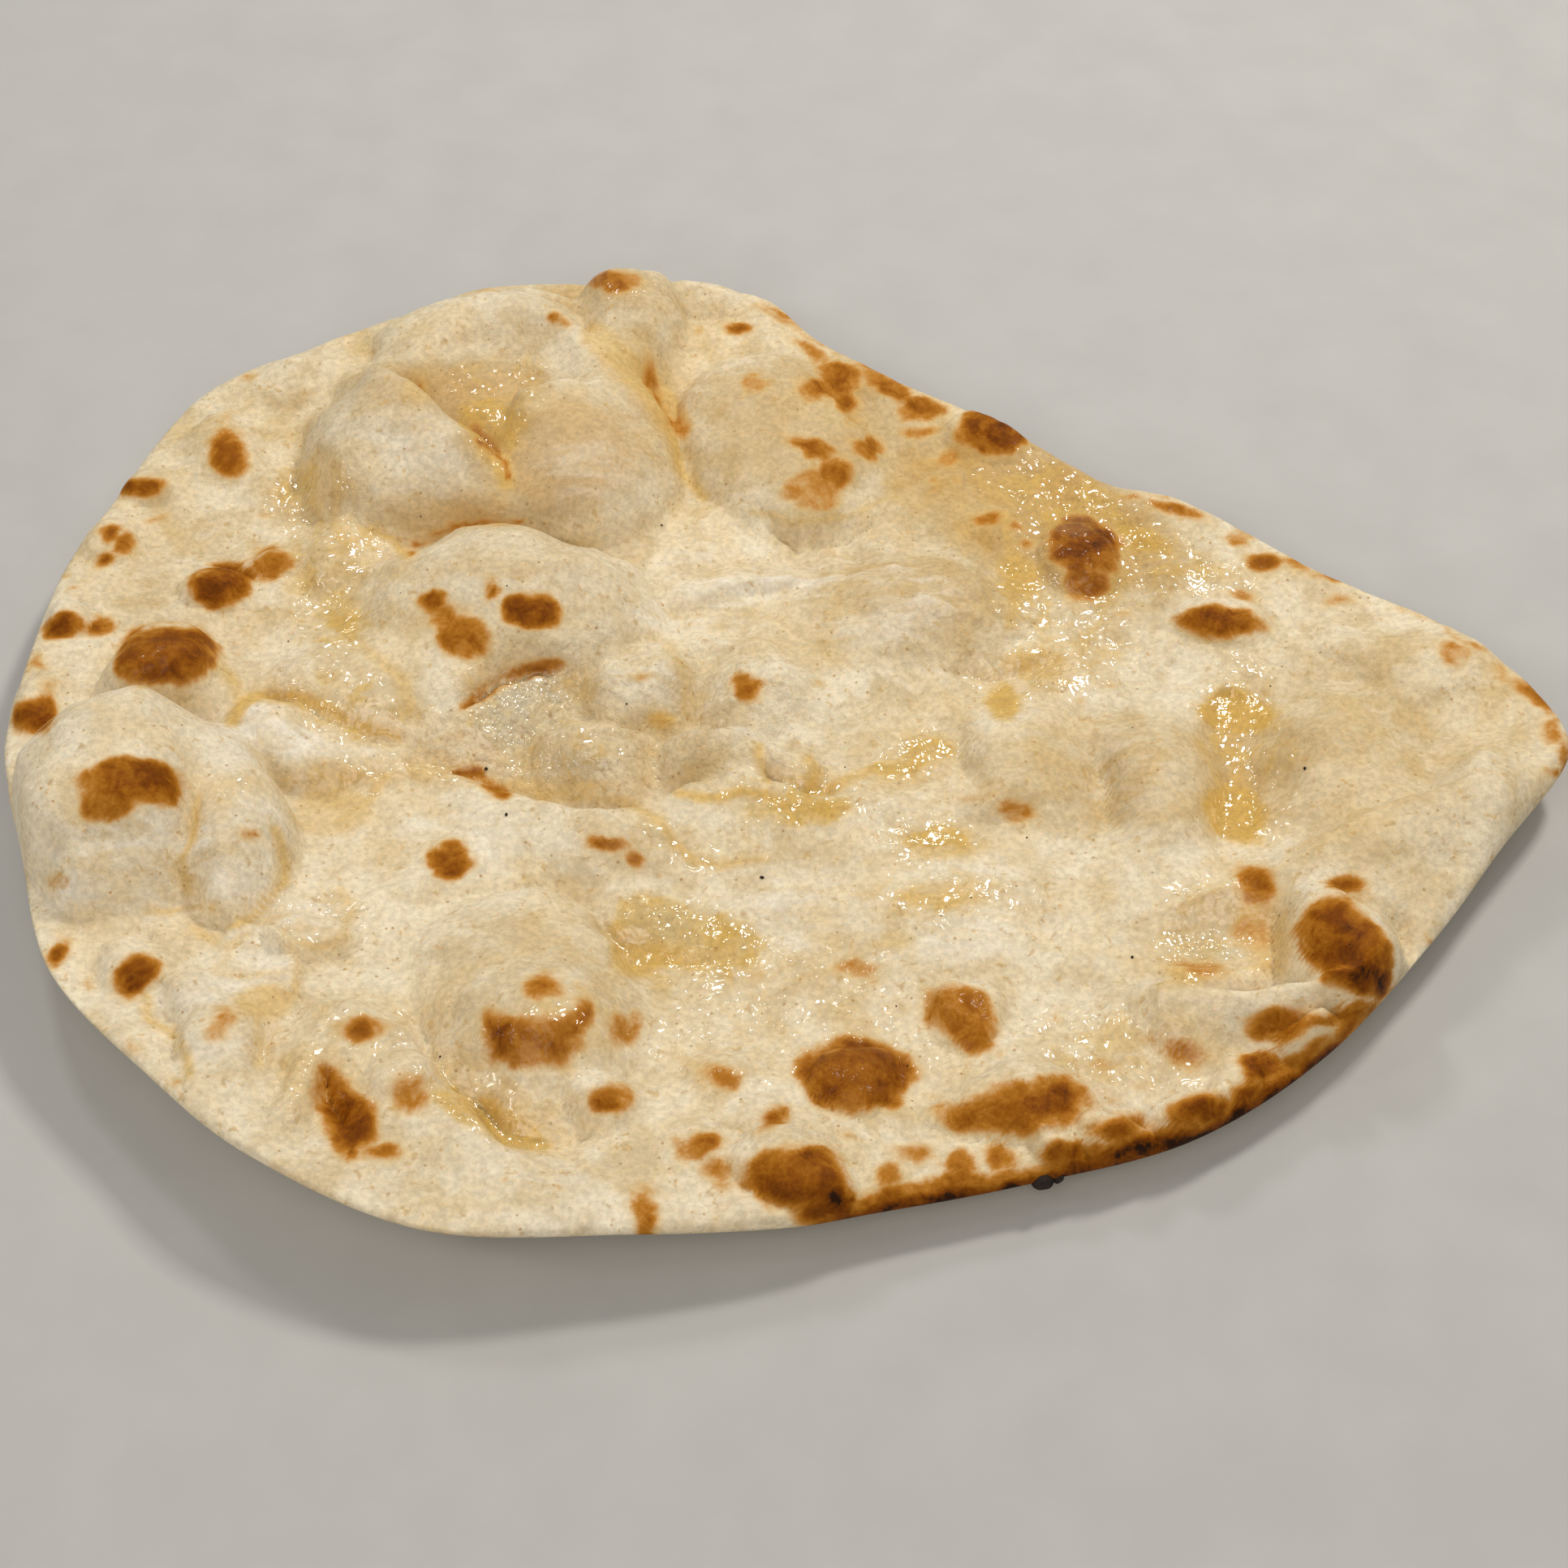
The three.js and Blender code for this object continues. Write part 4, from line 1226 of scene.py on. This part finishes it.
@dataclass(frozen=True)
class MeltedButter:
    """Melted butter: a clear yellow oil that tints what lies under it and mirrors the lamps sharply."""

    tint: str = "FFFEF8"
    mirror: str = "FFFFFF"
    mirror_share: float = 0.03
    mirror_roughness: float = 0.07
    ripple_size: float = 3.5
    ripple_depth: float = 0.7

    def material(self) -> bpy.types.Material:
        """Builds the material.

        Returns:
            The butter's material.
        """
        material, tree = new_material("melted_butter")
        place = add_node(tree, "ShaderNodeTexCoord").outputs["Object"]
        settings = {"Scale": 1 / (self.ripple_size * MM), "Detail": 3.0}
        ripple = add_node(tree, "ShaderNodeTexNoise", settings, {"Vector": place}).outputs["Fac"]
        rippled = stacked(tree, ((ripple, 1.0, self.ripple_depth),))
        clear = add_node(tree, "ShaderNodeBsdfTransparent", {"Color": linear_colour(self.tint)})
        settings = {"Color": linear_colour(self.mirror), "Roughness": self.mirror_roughness}
        gloss = add_node(tree, "ShaderNodeBsdfGlossy", settings, {"Normal": rippled})
        links = {1: clear.outputs[0], 2: gloss.outputs[0]}
        mixed = add_node(tree, "ShaderNodeMixShader", {0: self.mirror_share}, links)
        add_node(tree, "ShaderNodeOutputMaterial", None, {"Surface": mixed.outputs[0]})
        return material


def deselect_all() -> None:
    """Leaves object mode with nothing selected."""
    for other in bpy.context.selected_objects:
        other.select_set(False)


def point_array(mesh: bpy.types.Mesh) -> np.ndarray:
    """A mesh's points as rows, in its own unit.

    Args:
        mesh: The mesh.

    Returns:
        The points.
    """
    flat = np.empty(len(mesh.vertices) * 3)
    mesh.vertices.foreach_get("co", flat)
    return flat.reshape(-1, 3)


def set_points(mesh: bpy.types.Mesh, points: np.ndarray) -> None:
    """Moves a mesh's points."""
    mesh.vertices.foreach_set("co", points.astype(np.float32).ravel())
    mesh.update()


def paint(mesh: bpy.types.Mesh, name: str, values: np.ndarray) -> None:
    """Stores one number on each point of a mesh."""
    attribute = mesh.attributes.get(name) or mesh.attributes.new(name, "FLOAT", "POINT")
    attribute.data.foreach_set("value", values.astype(np.float32))


@dataclass
class Crust:
    """The whole bread: one closed crust, pulled from a flat grid."""

    cells: int = 96
    cuts: int = 2
    slab_thickness: float = 7.0
    rim_thickness: float = 6.0
    rim_rounding: float = 4.5
    rim_thinning: float = 30.0
    rest_share: float = 0.5
    curl_power: float = 1.7
    nose_turn: float = math.radians(65.0)
    nose_cells: int = 3
    evening_rounds: int = 18
    evening_step: float = 0.45
    # Where each kind of chance is read in the grain, so that no two are alike
    push_places: tuple = (9.0, -9.0)
    billow_places: tuple = (17.0, -31.0)
    ripple_place: float = 40.0
    wander_places: tuple = (50.0, 0.0)
    # How far chance pushes the forms about, and over what distance
    push: float = 1.4
    push_size: float = 11.0
    # Chance lumps all over, and billows where small bubbles crowd
    lump_height: float = 0.9
    lump_size: float = 22.0
    billow_height: float = 2.6
    billow_size: float = 12.0
    fine_billow_size: float = 5.5
    fine_billow_share: float = 0.55
    billow_middle: float = 0.2
    least_rough: float = 0.3
    # Standing butter: how much of a crease it fills, how uneven its edge is and how deep it can stand
    filled_crease: float = 0.4
    butter_ripple_size: float = 7.0
    butter_ripple: float = 0.35
    butter_edge: tuple = (2.5, -2.0)
    deepest: float = 0.7
    driest: float = -0.3
    dry_rim: float = 6.0
    # How far round a place the dough's mean height is taken, to tell how sunk it is
    sunk_reach: float = 3.5
    sunk_samples: int = 6
    # How far the char's and the butter's edges wander, and over what distance
    wander: tuple = ((1.6, 7.0), (0.8, 2.6))
    line_wander: float = 0.4
    # How much the hollows between billows count as sunk, and how far round the edge the oven's heat reaches
    sunk_billow: float = 1.2
    sunk_billow_limit: float = 0.1
    heat_turn: float = math.radians(125.0)
    # Paint: how much scorching dries the glaze, over what depth butter looks wet, and how strong pools,
    # raised skin, hollows and gold show; the hollows' crease colour is painted shade, with butter gathered
    # there where wet
    glaze_loss: float = 0.85
    glaze_loss_rise: float = 1.3
    wet_depth: float = 0.7
    held_pool: float = 0.7
    pool_share: float = 0.75
    raised_share: float = 0.22
    raised_height: float = 12.0
    hollow_rate: tuple = (0.05, 0.14)
    hollow_limit: tuple = (0.2, 0.35)
    seep_share: float = 0.9
    # Paint: how browned the skin is all over, and painted shade that darkens it more towards the far side
    toast: float = 0.04
    far_shade: float = 0.12
    far_start: float = 10.0
    far_run: float = 100.0
    relief: Relief = field(default_factory=Relief)
    rim: Rim = field(default_factory=Rim)
    grain: Grain = field(default_factory=lambda: Grain(7))
    finish: BakedCrust = field(default_factory=BakedCrust)

    def blank(self) -> bpy.types.Object:
        """Models the flat square slab that the bread is pulled from, finer on top than underneath.

        Returns:
            The slab's object, two wide, with its top at 0 and its underside at -1.
        """
        deselect_all()
        bpy.ops.mesh.primitive_grid_add(x_subdivisions=self.cells, y_subdivisions=self.cells, size=2.0)
        slab = bpy.context.object
        slab.name = "naan_crust"
        slab.data.name = "naan_crust"
        bpy.ops.object.mode_set(mode="EDIT")
        bpy.ops.mesh.select_all(action="SELECT")
        bpy.ops.mesh.extrude_region_move(TRANSFORM_OT_translate={"value": (0.0, 0.0, -1.0)})
        bpy.ops.mesh.select_all(action="SELECT")
        bpy.ops.mesh.normals_make_consistent(inside=False)
        bpy.ops.mesh.select_all(action="DESELECT")
        bpy.ops.object.mode_set(mode="OBJECT")
        centres = np.empty(len(slab.data.polygons) * 3)
        slab.data.polygons.foreach_get("center", centres)
        slab.data.polygons.foreach_set("select", centres[2::3] > -0.9)
        bpy.ops.object.mode_set(mode="EDIT")
        bpy.ops.mesh.subdivide(number_cuts=self.cuts)
        bpy.ops.object.mode_set(mode="OBJECT")
        return slab

    def plan(self, square: np.ndarray) -> tuple[np.ndarray, np.ndarray, np.ndarray]:
        """Where the slab's points go: how far out, how far round and how far over the edge.

        Args:
            square: The slab's points.

        Returns:
            Share of the way out, share of the way round, and turn over the edge, which is 0 on the top
            and half a turn on the underside.
        """
        a, b, level = square.T
        out = np.maximum(np.abs(a), np.abs(b))
        safe = np.maximum(out, 1e-9)
        sideways = np.abs(a) >= np.abs(b)
        quarter = np.where(sideways, np.where(a > 0, 0.0, 4.0), np.where(b > 0, 2.0, 6.0))
        along = np.where(sideways, np.where(a > 0, b, -b), np.where(b > 0, -a, a)) / safe
        round_share = ((quarter + along) / 8.0) % 1.0
        nose_start = 1.0 - 2.0 * self.nose_cells / self.cells
        nose = np.clip((out - nose_start) / (1.0 - nose_start), 0.0, 1.0)
        over_top = nose * self.nose_turn
        over_side = self.nose_turn + (math.pi - 2.0 * self.nose_turn) * -level
        turn = np.where(level > -1e-6, over_top, np.where(level < -1.0 + 1e-6, math.pi - over_top, over_side))
        out_share = np.minimum(out / nose_start, 1.0)
        return out_share, round_share, turn

    def outline_form(self, square: np.ndarray) -> np.ndarray:
        """The bread's plain form over the slab's points, without its small lumps.

        Args:
            square: The slab's points.

        Returns:
            Points in the bread.
        """
        out_share, round_share, _ = self.plan(square)
        rim = self.rim.at(round_share)
        hub = np.array(HUB)
        plan = hub + out_share[:, None] * (rim[:, :2] - hub)
        return np.column_stack([plan, self.relief.height(plan[:, 0], plan[:, 1])])

    def shape(self, square: np.ndarray) -> dict[str, np.ndarray]:
        """Pulls the slab's points to the bread's form.

        Args:
            square: The slab's points.

        Returns:
            The bread's points from the dimple, the butter's level over them, and what the paint needs.
        """
        out_share, round_share, turn = self.plan(square)
        rim = self.rim.at(round_share)
        hub = np.array(HUB)
        radius = np.linalg.norm(rim[:, :2] - hub, axis=1)
        plain = 1.0 - self.rim_rounding / radius
        inset = np.where(
            out_share < 1.0, radius * (1.0 - out_share * plain), self.rim_rounding * (1.0 - np.sin(turn))
        )
        share = 1.0 - inset / radius
        plan = hub + share[:, None] * (rim[:, :2] - hub)
        curl = np.maximum(0.0, (share - self.rest_share) / (1.0 - self.rest_share))
        under = rim[:, 2] * curl ** self.curl_power
        thinning = smooth_step(inset / self.rim_thinning)
        thick = self.rim_thickness + (self.slab_thickness - self.rim_thickness) * thinning
        middle = under + thick / 2
        top = turn < math.pi / 2
        roundness = np.where(inset >= self.rim_rounding, 1.0, np.abs(np.cos(turn)))
        flat = np.column_stack([plan, np.zeros(len(plan))])
        pushes = [self.grain.layered(flat + shift, self.push_size, 2) for shift in self.push_places]
        x, y = (plan + self.push * np.column_stack(pushes)).T
        relief = self.relief.height(x, y)
        buttering = Buttering()
        rough = np.minimum(1.0, self.least_rough + buttering.roughness(plan[:, 0], plan[:, 1]))
        coarse, fine = (
            np.abs(self.grain.at(flat + shift, size)) - self.billow_middle
            for shift, size in zip(self.billow_places, (self.billow_size, self.fine_billow_size))
        )
        billow = coarse + self.fine_billow_share * fine
        lumps = self.lump_height * self.grain.layered(flat, self.lump_size, 5)
        lumps += self.billow_height * rough * billow
        rise = np.maximum((thick / 2 + relief + lumps) * roundness, 0.0)
        height = np.where(top, middle + rise, middle - thick / 2 * roundness)
        points = np.column_stack([plan, height])
        level = middle + (thick / 2 + self.relief.height(x, y, self.filled_crease)) * roundness
        ripple = self.grain.layered(flat + self.ripple_place, self.butter_ripple_size, 3)
        seen_x, seen_y = (seen + edge * ripple for seen, edge in zip(seen_places(points), self.butter_edge))
        depth = buttering.depth(seen_x, seen_y) + self.butter_ripple * ripple
        held = buttering.held(seen_x, seen_y)
        stand = np.minimum(level + depth - height, self.deepest * held + self.driest * (1.0 - held))
        stand = np.where(top & (inset > self.dry_rim), stand, -1.0)
        angles = np.arange(self.sunk_samples) * math.tau / self.sunk_samples
        around = self.sunk_reach * np.column_stack([np.cos(angles), np.sin(angles)])
        ring = [self.relief.height(x + dx, y + dy) for dx, dy in around]
        between = self.sunk_billow * rough * np.minimum(billow, self.sunk_billow_limit)
        return {
            "points": points,
            "stand": stand,
            "held": held,
            "sunk": sum(ring) / len(ring) - relief - between,
            "lit": (turn < self.heat_turn).astype(float),
            "top": top,
            "relief": relief,
        }

    def dress(self, mesh: bpy.types.Mesh, form: dict[str, np.ndarray]) -> None:
        """Paints scorching, butter, flour and toasting on the crust's points, and painted shade in sunk
        places and towards the far side.

        Args:
            mesh: The crust's mesh.
            form: The measures of its points.
        """
        points = form["points"]
        stray_x, stray_y = (
            sum(reach * self.grain.at(points + shift, size) for reach, size in self.wander)
            for shift in self.wander_places
        )
        seen_x, seen_y = form["seen_x"] + stray_x, form["seen_y"] + stray_y
        line_x = form["seen_x"] + self.line_wander * stray_x
        line_y = form["seen_y"] + self.line_wander * stray_y
        top = form["top"].astype(float)
        buttering = Buttering()
        scorching = Scorching()
        # Scorching, and browned crease bottoms, one of which is partly painted shade
        scorch = np.maximum(scorching.strength(seen_x, seen_y), scorching.in_creases(points))
        loss = self.glaze_loss * np.minimum(self.glaze_loss_rise * scorch, 1.0)
        glaze = buttering.glaze(seen_x, seen_y) * top * (1.0 - loss)
        standing = smooth_step((form["stand"] - self.driest) / self.wet_depth)
        pool = np.maximum(standing, self.held_pool * form["held"]) * top
        wet = np.maximum(glaze, pool)
        raised = self.raised_share * smooth_step((form["relief"] - 1.0) / self.raised_height)
        # Crease colour laid into sunk places: painted shade, with more of it where wet as butter gathers
        # there
        rate, limit = (least + more * wet for least, more in (self.hollow_rate, self.hollow_limit))
        sunk = np.clip(form["sunk"] * rate, 0.0, limit)
        golden = self.seep_share * buttering.seeping(line_x, line_y)
        # Painted shade: the dough is darkened more towards the far side
        far = smooth_step((points[:, 1] - self.far_start) / self.far_run)
        measures = {
            "scorch": scorch * form["lit"],
            "glaze": wet,
            "pool": self.pool_share * pool,
            "dryness": buttering.dryness(seen_x, seen_y) * top * (1.0 - pool),
            "rough": buttering.roughness(points[:, 0], points[:, 1]),
            "raised": raised * top,
            "hollow": np.maximum(sunk, golden) * top,
            "froth": buttering.frothing(seen_x, seen_y) * top,
            # toasting, with painted shade darkening the far side added to it
            "toast": self.toast + self.far_shade * far + scorching.toasting(seen_x, seen_y),
        }
        for name, values in measures.items():
            paint(mesh, name, values)

    def evened(self, slab: bpy.types.Mesh) -> np.ndarray:
        """Slides the slab's inner points along it, so that steep sides get as many points as flats.

        Args:
            slab: The slab's mesh.

        Returns:
            The slab's points.
        """
        square = point_array(slab)
        ends = np.empty(len(slab.edges) * 2, int)
        slab.edges.foreach_get("vertices", ends)
        first, second = ends.reshape(-1, 2).T
        out = np.abs(square[:, :2]).max(axis=1)
        free = (out < 1.0 - 2.0 * (self.nose_cells + 0.5) / self.cells) & (square[:, 2] > -1e-6)
        used = free[first] | free[second]
        first, second = first[used], second[used]
        for _ in range(self.evening_rounds):
            points = self.outline_form(square)
            weight = np.linalg.norm(points[first] - points[second], axis=1)
            total = np.zeros(len(square))
            pull = np.zeros((len(square), 2))
            for here, there in ((first, second), (second, first)):
                total += np.bincount(here, weight, len(square))
                for axis in range(2):
                    pull[:, axis] += np.bincount(here, weight * square[there, axis], len(square))
            square[free, :2] += self.evening_step * (pull[free] / total[free, None] - square[free, :2])
        return square

    def build(self) -> tuple[bpy.types.Object, dict[str, np.ndarray]]:
        """Models and paints the crust.

        Returns:
            The crust's object and the measures of its points.
        """
        slab = self.blank()
        form = self.shape(self.evened(slab.data))
        points = form["points"]
        set_points(slab.data, (points + [*DIMPLE, 0.0]) * MM)
        slab.data.polygons.foreach_set("use_smooth", np.ones(len(slab.data.polygons), bool))
        form["seen_x"], form["seen_y"] = seen_places(points)
        self.dress(slab.data, form)
        slab.data.materials.append(self.finish.material())
        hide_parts(NODE)
        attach(slab, BODY)
        return slab, form


def seen_places(points: np.ndarray) -> tuple[np.ndarray, np.ndarray]:
    """Where the eye sees points on the level sheet that marks are laid out on."""
    pull = (EYE_UP - SHEET_HEIGHT) / (EYE_UP - points[:, 2])
    return points[:, 0] * pull, (points[:, 1] + EYE_BACK) * pull - EYE_BACK


@dataclass
class ButterFilm:
    """Melted butter that stands in the crust's dips as one thin closed film."""

    burial: float = 0.5
    lowest: float = -0.3
    margin: float = 0.1
    finish: MeltedButter = field(default_factory=MeltedButter)

    def build(self, crust: bpy.types.Object, form: dict[str, np.ndarray]) -> bpy.types.Object:
        """Copies the crust's skin where butter stands, lifts it to the butter's level and thickens it.

        Args:
            crust: The crust's object.
            form: The measures of the crust's points.

        Returns:
            The film's object.
        """
        points = form["points"]
        depth = form["stand"]
        wet = form["top"] & (depth > -self.margin)
        buried = points - [0.0, 0.0, self.burial]
        mesh = crust.data.copy()
        film = bpy.data.objects.new("melted_butter", mesh)
        bpy.context.collection.objects.link(film)
        lifted = points.copy()
        lifted[:, 2] += np.maximum(depth, self.lowest)
        set_points(mesh, (lifted + [*DIMPLE, 0.0]) * MM)
        under = mesh.attributes.new("buried", "FLOAT_VECTOR", "POINT")
        under.data.foreach_set("vector", ((buried + [*DIMPLE, 0.0]) * MM).astype(np.float32).ravel())
        deselect_all()
        bpy.context.view_layer.objects.active = film
        film.select_set(True)
        corners = np.empty(len(mesh.loops), int)
        mesh.loops.foreach_get("vertex_index", corners)
        starts = np.empty(len(mesh.polygons), int)
        mesh.polygons.foreach_get("loop_start", starts)
        dry_face = ~np.logical_or.reduceat(wet[corners], starts)
        dry_face |= ~np.logical_and.reduceat(form["top"][corners], starts)
        for elements in (mesh.vertices, mesh.edges):
            elements.foreach_set("select", np.zeros(len(elements), bool))
        mesh.polygons.foreach_set("select", dry_face)
        bpy.ops.object.mode_set(mode="EDIT")
        bpy.ops.mesh.select_mode(type="FACE")
        bpy.ops.mesh.delete(type="FACE")
        bpy.ops.object.mode_set(mode="OBJECT")
        paint_kept = np.empty(len(mesh.vertices) * 3, np.float32)
        mesh.attributes["buried"].data.foreach_get("vector", paint_kept)
        wall = film.modifiers.new("film", "SOLIDIFY")
        wall.thickness = self.burial * MM
        wall.offset = -1.0
        bpy.ops.object.modifier_apply(modifier=wall.name)
        whole = point_array(film.data)
        whole[len(whole) // 2 :] = paint_kept.reshape(-1, 3)
        set_points(film.data, whole)
        film.data.materials.clear()
        film.data.materials.append(self.finish.material())
        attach(film, BODY)
        return film


@dataclass(frozen=True)
class BurntFlour:
    """Burnt flour and dough: a dull, nearly black char with a little brown in it, slightly oily."""

    dark: str = "0E0906"
    light: str = "2E1A0C"
    grain_size: float = 0.8
    grain_depth: float = 0.2
    roughness: float = 0.8

    def material(self) -> bpy.types.Material:
        """Builds the material.

        Returns:
            The char's material.
        """
        material, tree = new_material("burnt_flour")
        place = add_node(tree, "ShaderNodeTexCoord").outputs["Object"]
        settings = {"Scale": 1 / (self.grain_size * MM), "Detail": 3.0}
        grain = add_node(tree, "ShaderNodeTexNoise", settings, {"Vector": place}).outputs["Fac"]
        ramp = add_node(tree, "ShaderNodeValToRGB", None, {"Fac": grain})
        set_ramp(ramp, ((0.35, self.dark), (0.7, self.light)))
        rough = stacked(tree, ((grain, 0.6, self.grain_depth),))
        links = {"Base Color": ramp.outputs["Color"], "Normal": rough}
        shader = add_node(tree, "ShaderNodeBsdfPrincipled", {"Roughness": self.roughness}, links)
        add_node(tree, "ShaderNodeOutputMaterial", None, {"Surface": shader.outputs[0]})
        return material


@dataclass
class BurntCrumbs:
    """Specks of burnt flour on the crust, and a burnt nub of dough on its rim, as one piece."""

    # Seen place along, seen place across and width, mm
    placed: tuple = (
        (-4, -29, 0.8), (-56, -3, 0.8), (62, -47, 0.7), (-60, -68, 0.5), (98, -3, 0.6), (-52, -14, 0.6),
        (-97, 30, 0.4), (-25, 62, 0.4), (45, -20, 0.4), (20, -58, 0.4),
    )
    nubs: tuple = ((44.0, -94.6, 3.6), (46.6, -93.8, 2.2))
    nub_size: float = 2.0
    unevenness: float = 0.35
    scattered: int = 16
    scattered_sizes: tuple = (0.2, 0.4)
    spread: tuple = (105.0, 75.0)
    finish: BurntFlour = field(default_factory=BurntFlour)

    def lump(self, place: np.ndarray, size: float, draw: np.random.Generator) -> bpy.types.Object:
        """Adds one uneven lump of char.

        Args:
            place: Its middle, mm from under the middle of the bread's box.
            size: Its width, mm.
            draw: Source of chance.

        Returns:
            The lump.
        """
        turn = tuple(float(angle) for angle in draw.uniform(0.0, math.tau, 3))
        stretch = tuple(float(share) for share in draw.uniform(0.7, 1.2, 3))
        bpy.ops.mesh.primitive_ico_sphere_add(
            subdivisions=2 if size < self.nub_size else 3, radius=size / 2 * MM,
            location=tuple(float(v) * MM for v in place), rotation=turn, scale=stretch,
        )
        piece = bpy.context.object
        points = point_array(piece.data)
        shift = Grain(3).layered(points / (size * MM) * 2.0 + place, 1.4, 2)
        set_points(piece.data, points * (1.0 + self.unevenness * shift)[:, None])
        return piece

    def build(self, form: dict[str, np.ndarray]) -> bpy.types.Object:
        """Strews the lumps over the crust and joins them.

        Args:
            form: The measures of the crust's points.

        Returns:
            The crumbs' object.
        """
        draw = np.random.default_rng(11)
        chance = draw.uniform(-1.0, 1.0, (self.scattered, 2)) * self.spread
        widths = draw.uniform(*self.scattered_sizes, self.scattered)
        places = [*self.placed, *((x, y, width) for (x, y), width in zip(chance, widths)), *self.nubs]
        shown = form["lit"] > 0.5
        deselect_all()
        lumps = []
        for x, y, width in places:
            away = np.hypot(form["seen_x"] - x, form["seen_y"] - y)
            nearest = form["points"][np.where(shown, away, np.inf).argmin()]
            lumps.append(self.lump(nearest + [*DIMPLE, 0.1 * width], width, draw))
        for piece in lumps:
            piece.select_set(True)
        bpy.ops.object.join()
        bpy.ops.object.transform_apply(location=True, rotation=True, scale=True)
        crumbs = bpy.context.object
        crumbs.name = "burnt_crumbs"
        crumbs.data.name = "burnt_crumbs"
        crumbs.data.polygons.foreach_set("use_smooth", np.ones(len(crumbs.data.polygons), bool))
        crumbs.data.materials.append(self.finish.material())
        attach(crumbs, BODY)
        return crumbs


@dataclass
class Studio:
    """A plain pale floor, soft lamps and the camera."""

    # Name, place in metres, width in metres, power in watts and colour
    LAMPS = (
        ("key", (0.38, 0.44, 0.75), 0.14, 4.4, "FFFAF3"),
        ("fill", (-0.15, -0.75, 0.78), 0.9, 4.4, "FFF8F0"),
        ("side", (-0.7, -0.2, 0.55), 0.12, 0.5, "FFFAF2"),
        ("back", (-0.3, 0.55, 0.65), 0.12, 1.3, "FFFFFF"),
    )
    floor_size: float = 6.0
    floor_colour: str = "BFBEBB"
    cloud_colour: str = "BAB9B6"
    cloud_scale: float = 60.0
    world_colour: str = "EAE8E4"
    world_strength: float = 0.32

    def floor(self) -> None:
        """Lays the floor under the bread."""
        deselect_all()
        bpy.ops.mesh.primitive_plane_add(size=self.floor_size)
        plane = bpy.context.object
        plane.name = "floor"
        material, tree = new_material("matte_paper")
        place = add_node(tree, "ShaderNodeTexCoord").outputs["Object"]
        settings = {"Scale": self.cloud_scale, "Detail": 4.0}
        cloud = add_node(tree, "ShaderNodeTexNoise", settings, {"Vector": place}).outputs["Fac"]
        tint = add_node(tree, "ShaderNodeValToRGB", None, {"Fac": cloud})
        set_ramp(tint, ((0.3, self.cloud_colour), (0.7, self.floor_colour)))
        links = {"Base Color": tint.outputs["Color"]}
        shader = add_node(tree, "ShaderNodeBsdfPrincipled", {"Roughness": 0.9}, links)
        add_node(tree, "ShaderNodeOutputMaterial", None, {"Surface": shader.outputs[0]})
        plane.data.materials.append(material)

    def lamp(self, name: str, place: tuple, size: float, power: float, colour: str) -> None:
        """Hangs one square lamp that faces the bread.

        Args:
            name: Its name.
            place: Where it hangs, in metres.
            size: Its width, in metres.
            power: Its power, in watts.
            colour: Its light's hex colour.
        """
        data = bpy.data.lights.new(name, "AREA")
        data.size = size
        data.energy = power
        data.color = linear_colour(colour)[:3]
        lamp = bpy.data.objects.new(name, data)
        lamp.location = place
        lamp.rotation_euler = (-Vector(place)).to_track_quat("-Z", "Y").to_euler()
        bpy.context.collection.objects.link(lamp)

    def camera(self) -> None:
        """Sets up the camera where the eye is."""
        data = bpy.data.cameras.new("eye")
        data.sensor_width = SENSOR_WIDTH
        data.lens = SENSOR_WIDTH * FOCAL_PIXELS / FRAME_WIDTH_PIXELS
        data.clip_start = 0.01
        camera = bpy.data.objects.new("eye", data)
        camera.location = Vector((DIMPLE[0], DIMPLE[1] - EYE_BACK, EYE_UP)) * MM
        camera.rotation_euler = (math.pi / 2 - EYE_ELEVATION, 0.0, 0.0)
        bpy.context.collection.objects.link(camera)
        bpy.context.scene.camera = camera

    def build(self) -> None:
        """Sets up the floor, the lamps, the world and the camera."""
        self.camera()
        self.floor()
        for row in self.LAMPS:
            self.lamp(*row)
        world = bpy.data.worlds.new("studio")
        world.use_nodes = True
        world.node_tree.nodes.clear()
        light = add_node(
            world.node_tree, "ShaderNodeBackground",
            {"Color": linear_colour(self.world_colour), "Strength": self.world_strength},
        )
        add_node(world.node_tree, "ShaderNodeOutputWorld", None, {"Surface": light.outputs[0]})
        bpy.context.scene.world = world
        bpy.context.scene.view_settings.view_transform = "Standard"


def corners(box: tuple) -> list[list[float]]:
    """A box's two corners as plain lists of numbers."""
    return [[float(value) for value in corner] for corner in box]


def main() -> None:
    """Builds the bread and the studio in order, and reports each piece."""
    logging.basicConfig(level=logging.INFO, format="%(message)s")
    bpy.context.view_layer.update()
    Studio().build()
    crust, form = Crust().build()
    LOG.info("%s: %d faces", crust.name, len(crust.data.polygons))
    butter = ButterFilm().build(crust, form)
    LOG.info("%s: %d faces", butter.name, len(butter.data.polygons))
    crumbs = BurntCrumbs().build(form)
    LOG.info("%s: %d faces", crumbs.name, len(crumbs.data.polygons))


if __name__ == "__main__":
    main()
